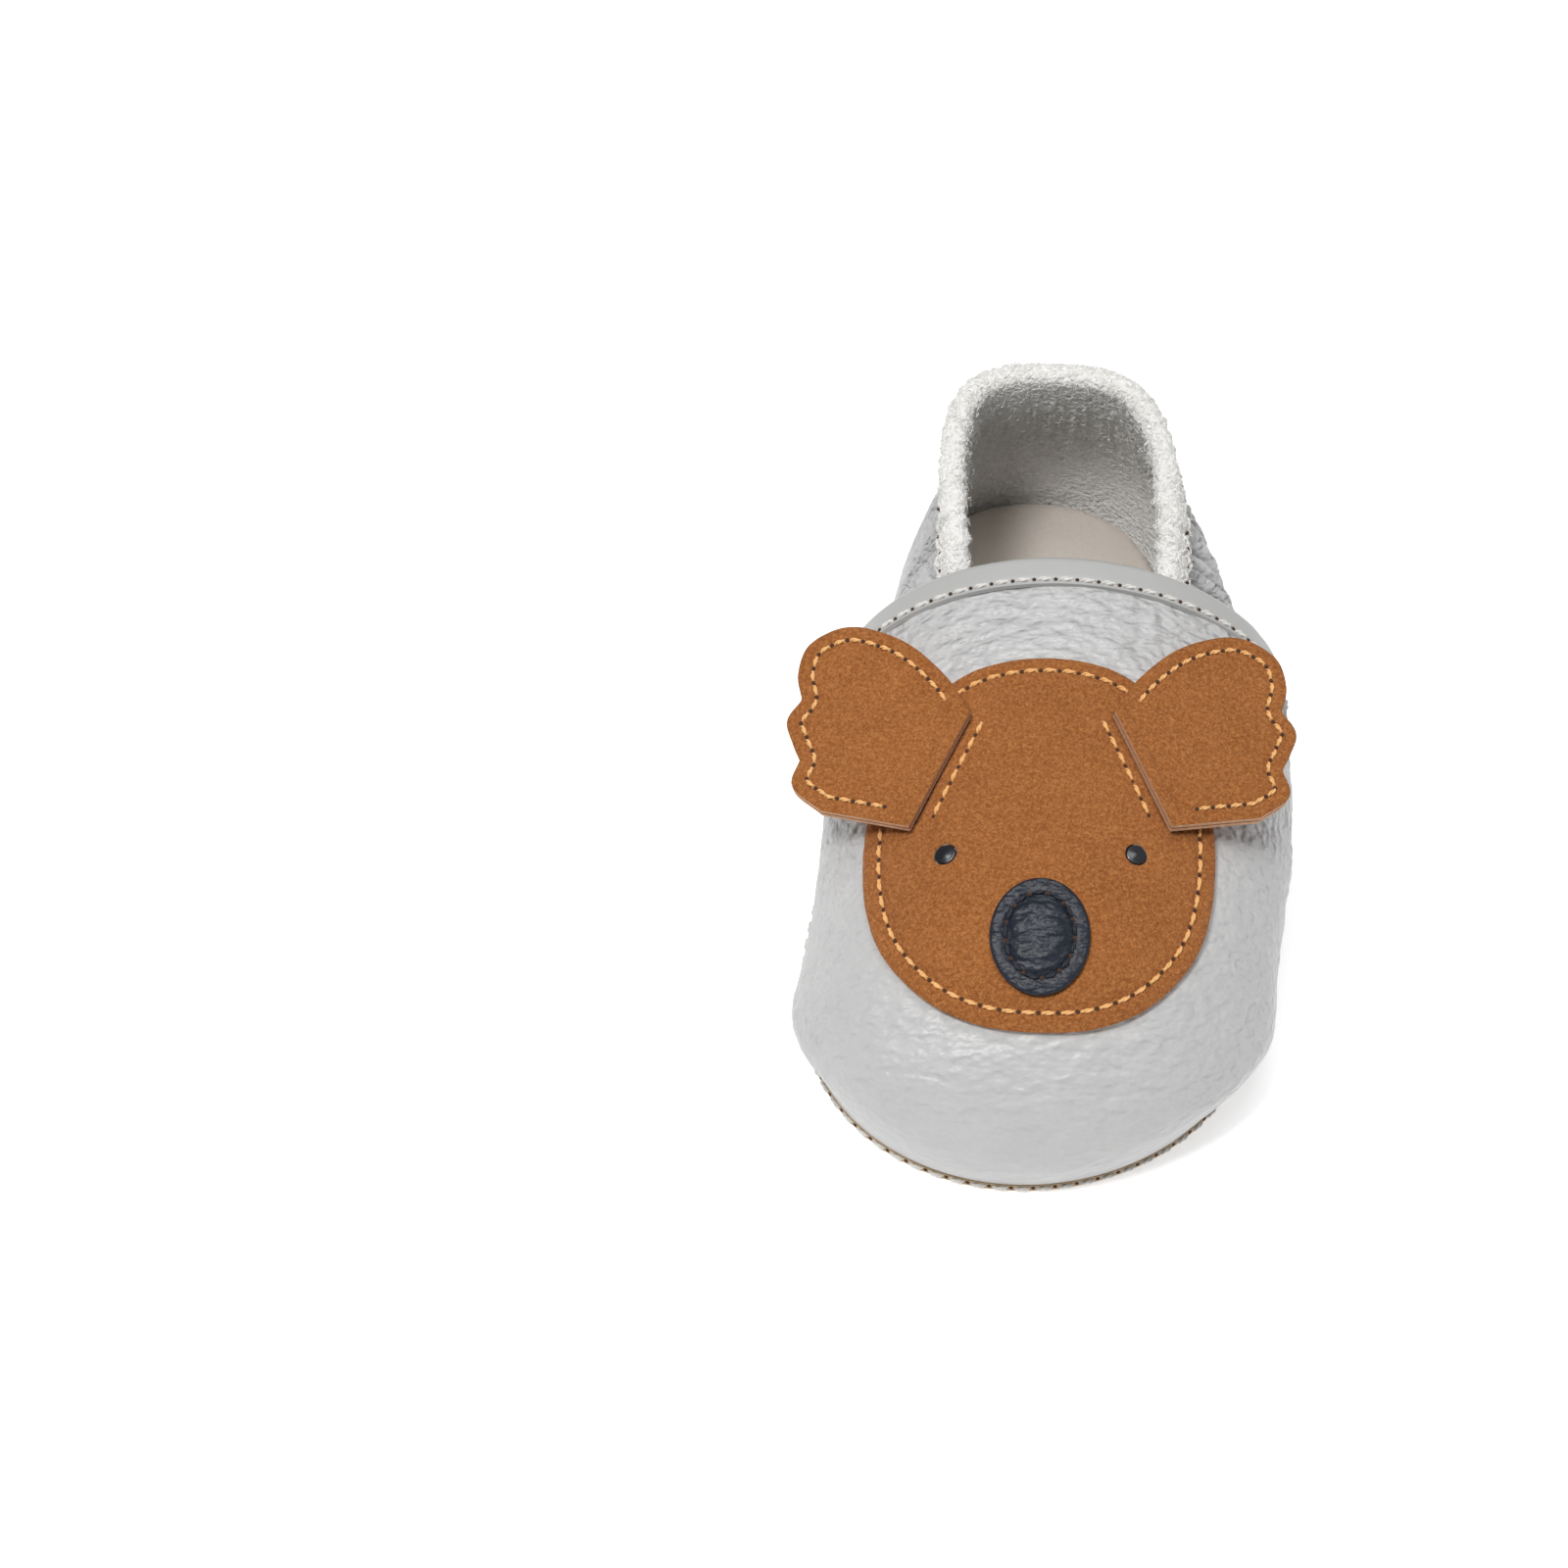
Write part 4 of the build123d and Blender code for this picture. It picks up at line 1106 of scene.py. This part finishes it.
def make_rows():
    plan_row("face_seam", face_loop(), SEAM_INSET, PATCH_HIGH - FACE_SEAM_SINK, FACE_PITCH,
             "orange", "face_stitching")
    plan_row("nose_seam", circle_loop(*NOSE_CENTRE, *NOSE_RADII, 96), NOSE_SEAM_INSET,
             PATCH_HIGH + GAP + NOSE_THICK - NOSE_SEAM_SINK, NOSE_PITCH, "black", "nose_stitching")
    for name, side in SIDES.items():
        make_anchor_row(name, side)
    throat = np.linspace(*THROAT_SEAM_ENDS, 300)
    height = BINDING_THICK / 2 - THROAT_SEAM_SINK
    shoe_row("throat_seam", lambda rise: binding_point(throat, THROAT_SEAM_REACH, height + rise),
             SEAM_PITCH, "grey", "binding_stitching")
    around = np.linspace(*COLLAR_SEAM_ENDS, 400)
    shoe_row("collar_seam", lambda rise: quarter_point(around, COLLAR_SEAM_REACH, -HALF - rise),
             SEAM_PITCH, "grey", "collar_stitching")
    angles = np.linspace(0, 2 * pi, 900)
    shoe_row("sole_seam",
             lambda rise: flat_place(*sole_edge(angles, -rise - SOLE_SEAM_RISE), OUTSOLE_THICK / 2),
             SEAM_PITCH, "grey", "sole_seam_stitching")


# ==== stage ====
def see_through_from_below(made):
    """The floor hides nothing from a viewer under it, and stays solid from above."""
    nodes, links = made.node_tree.nodes, made.node_tree.links
    side = nodes.new("ShaderNodeNewGeometry")
    clear = nodes.new("ShaderNodeBsdfTransparent")
    mixer = nodes.new("ShaderNodeMixShader")
    links.new(side.outputs["Backfacing"], mixer.inputs[0])
    links.new(nodes["Principled BSDF"].outputs["BSDF"], mixer.inputs[1])
    links.new(clear.outputs["BSDF"], mixer.inputs[2])
    links.new(mixer.outputs["Shader"], nodes["Material Output"].inputs["Surface"])


def link(made):
    bpy.context.scene.collection.objects.link(made)


def make_world():
    """White light all round, stronger from the +X side."""
    world = bpy.data.worlds.new("studio")
    bpy.context.scene.world = world
    world.use_nodes = True
    nodes, links = world.node_tree.nodes, world.node_tree.links
    set_inputs(nodes["Background"], Color=(1, 1, 1, 1))
    around = nodes.new("ShaderNodeTexCoord")
    parts = nodes.new("ShaderNodeSeparateXYZ")
    dim, bright = WORLD_LIGHT
    falloff = set_inputs(nodes.new("ShaderNodeMapRange"), From_Min=-1, To_Min=dim, To_Max=bright)
    links.new(around.outputs["Generated"], parts.inputs["Vector"])
    links.new(parts.outputs["X"], falloff.inputs["Value"])
    links.new(falloff.outputs["Result"], nodes["Background"].inputs["Strength"])


def make_floor():
    bpy.ops.mesh.primitive_plane_add(size=6, location=(0, 0, -FLOOR_DROP))
    floor = bpy.context.object
    floor.name = "studio_floor"
    white = bpy.data.materials.new("pale_floor")
    white.use_nodes = True
    set_inputs(white.node_tree.nodes["Principled BSDF"], Base_Color=(0.93, 0.93, 0.93, 1), Roughness=0.9,
               Emission_Color=(1, 1, 1, 1), Emission_Strength=FLOOR_GLOW)
    see_through_from_below(white)
    floor.data.materials.append(white)


def make_stage():
    make_world()
    make_floor()
    for name, place, size, power in LAMPS:
        light = bpy.data.lights.new(name, "AREA")
        light.size = size
        light.energy = power
        lamp = bpy.data.objects.new(name, light)
        lamp.location = place
        lamp.rotation_euler = (Vector(LAMP_AIM) - Vector(place)).to_track_quat("-Z", "Y").to_euler()
        link(lamp)
    bpy.context.scene.view_settings.view_transform = "Standard"


def make_camera():
    """The camera stands in front of the toe and above it, turned slightly towards the medial side."""
    lens = bpy.data.cameras.new("camera")
    lens.sensor_width = 36
    lens.lens = 93.99
    lens.clip_start, lens.clip_end = 0.01, 10
    camera = bpy.data.objects.new("camera", lens)
    camera.location = CAMERA_PLACE
    camera.rotation_euler = (pi / 2 - CAMERA_DOWN, 0, CAMERA_TURN)
    link(camera)
    bpy.context.scene.camera = camera


make_camera()
make_stage()
make_soles()
make_vamp()
make_lining()
make_binding()
make_quarter(make_fluff())
make_elastic()
make_face()
make_nose()
for side_name, side_sign in SIDES.items():
    make_eye(side_name, side_sign)
    make_ear(side_name, side_sign)
make_rows()
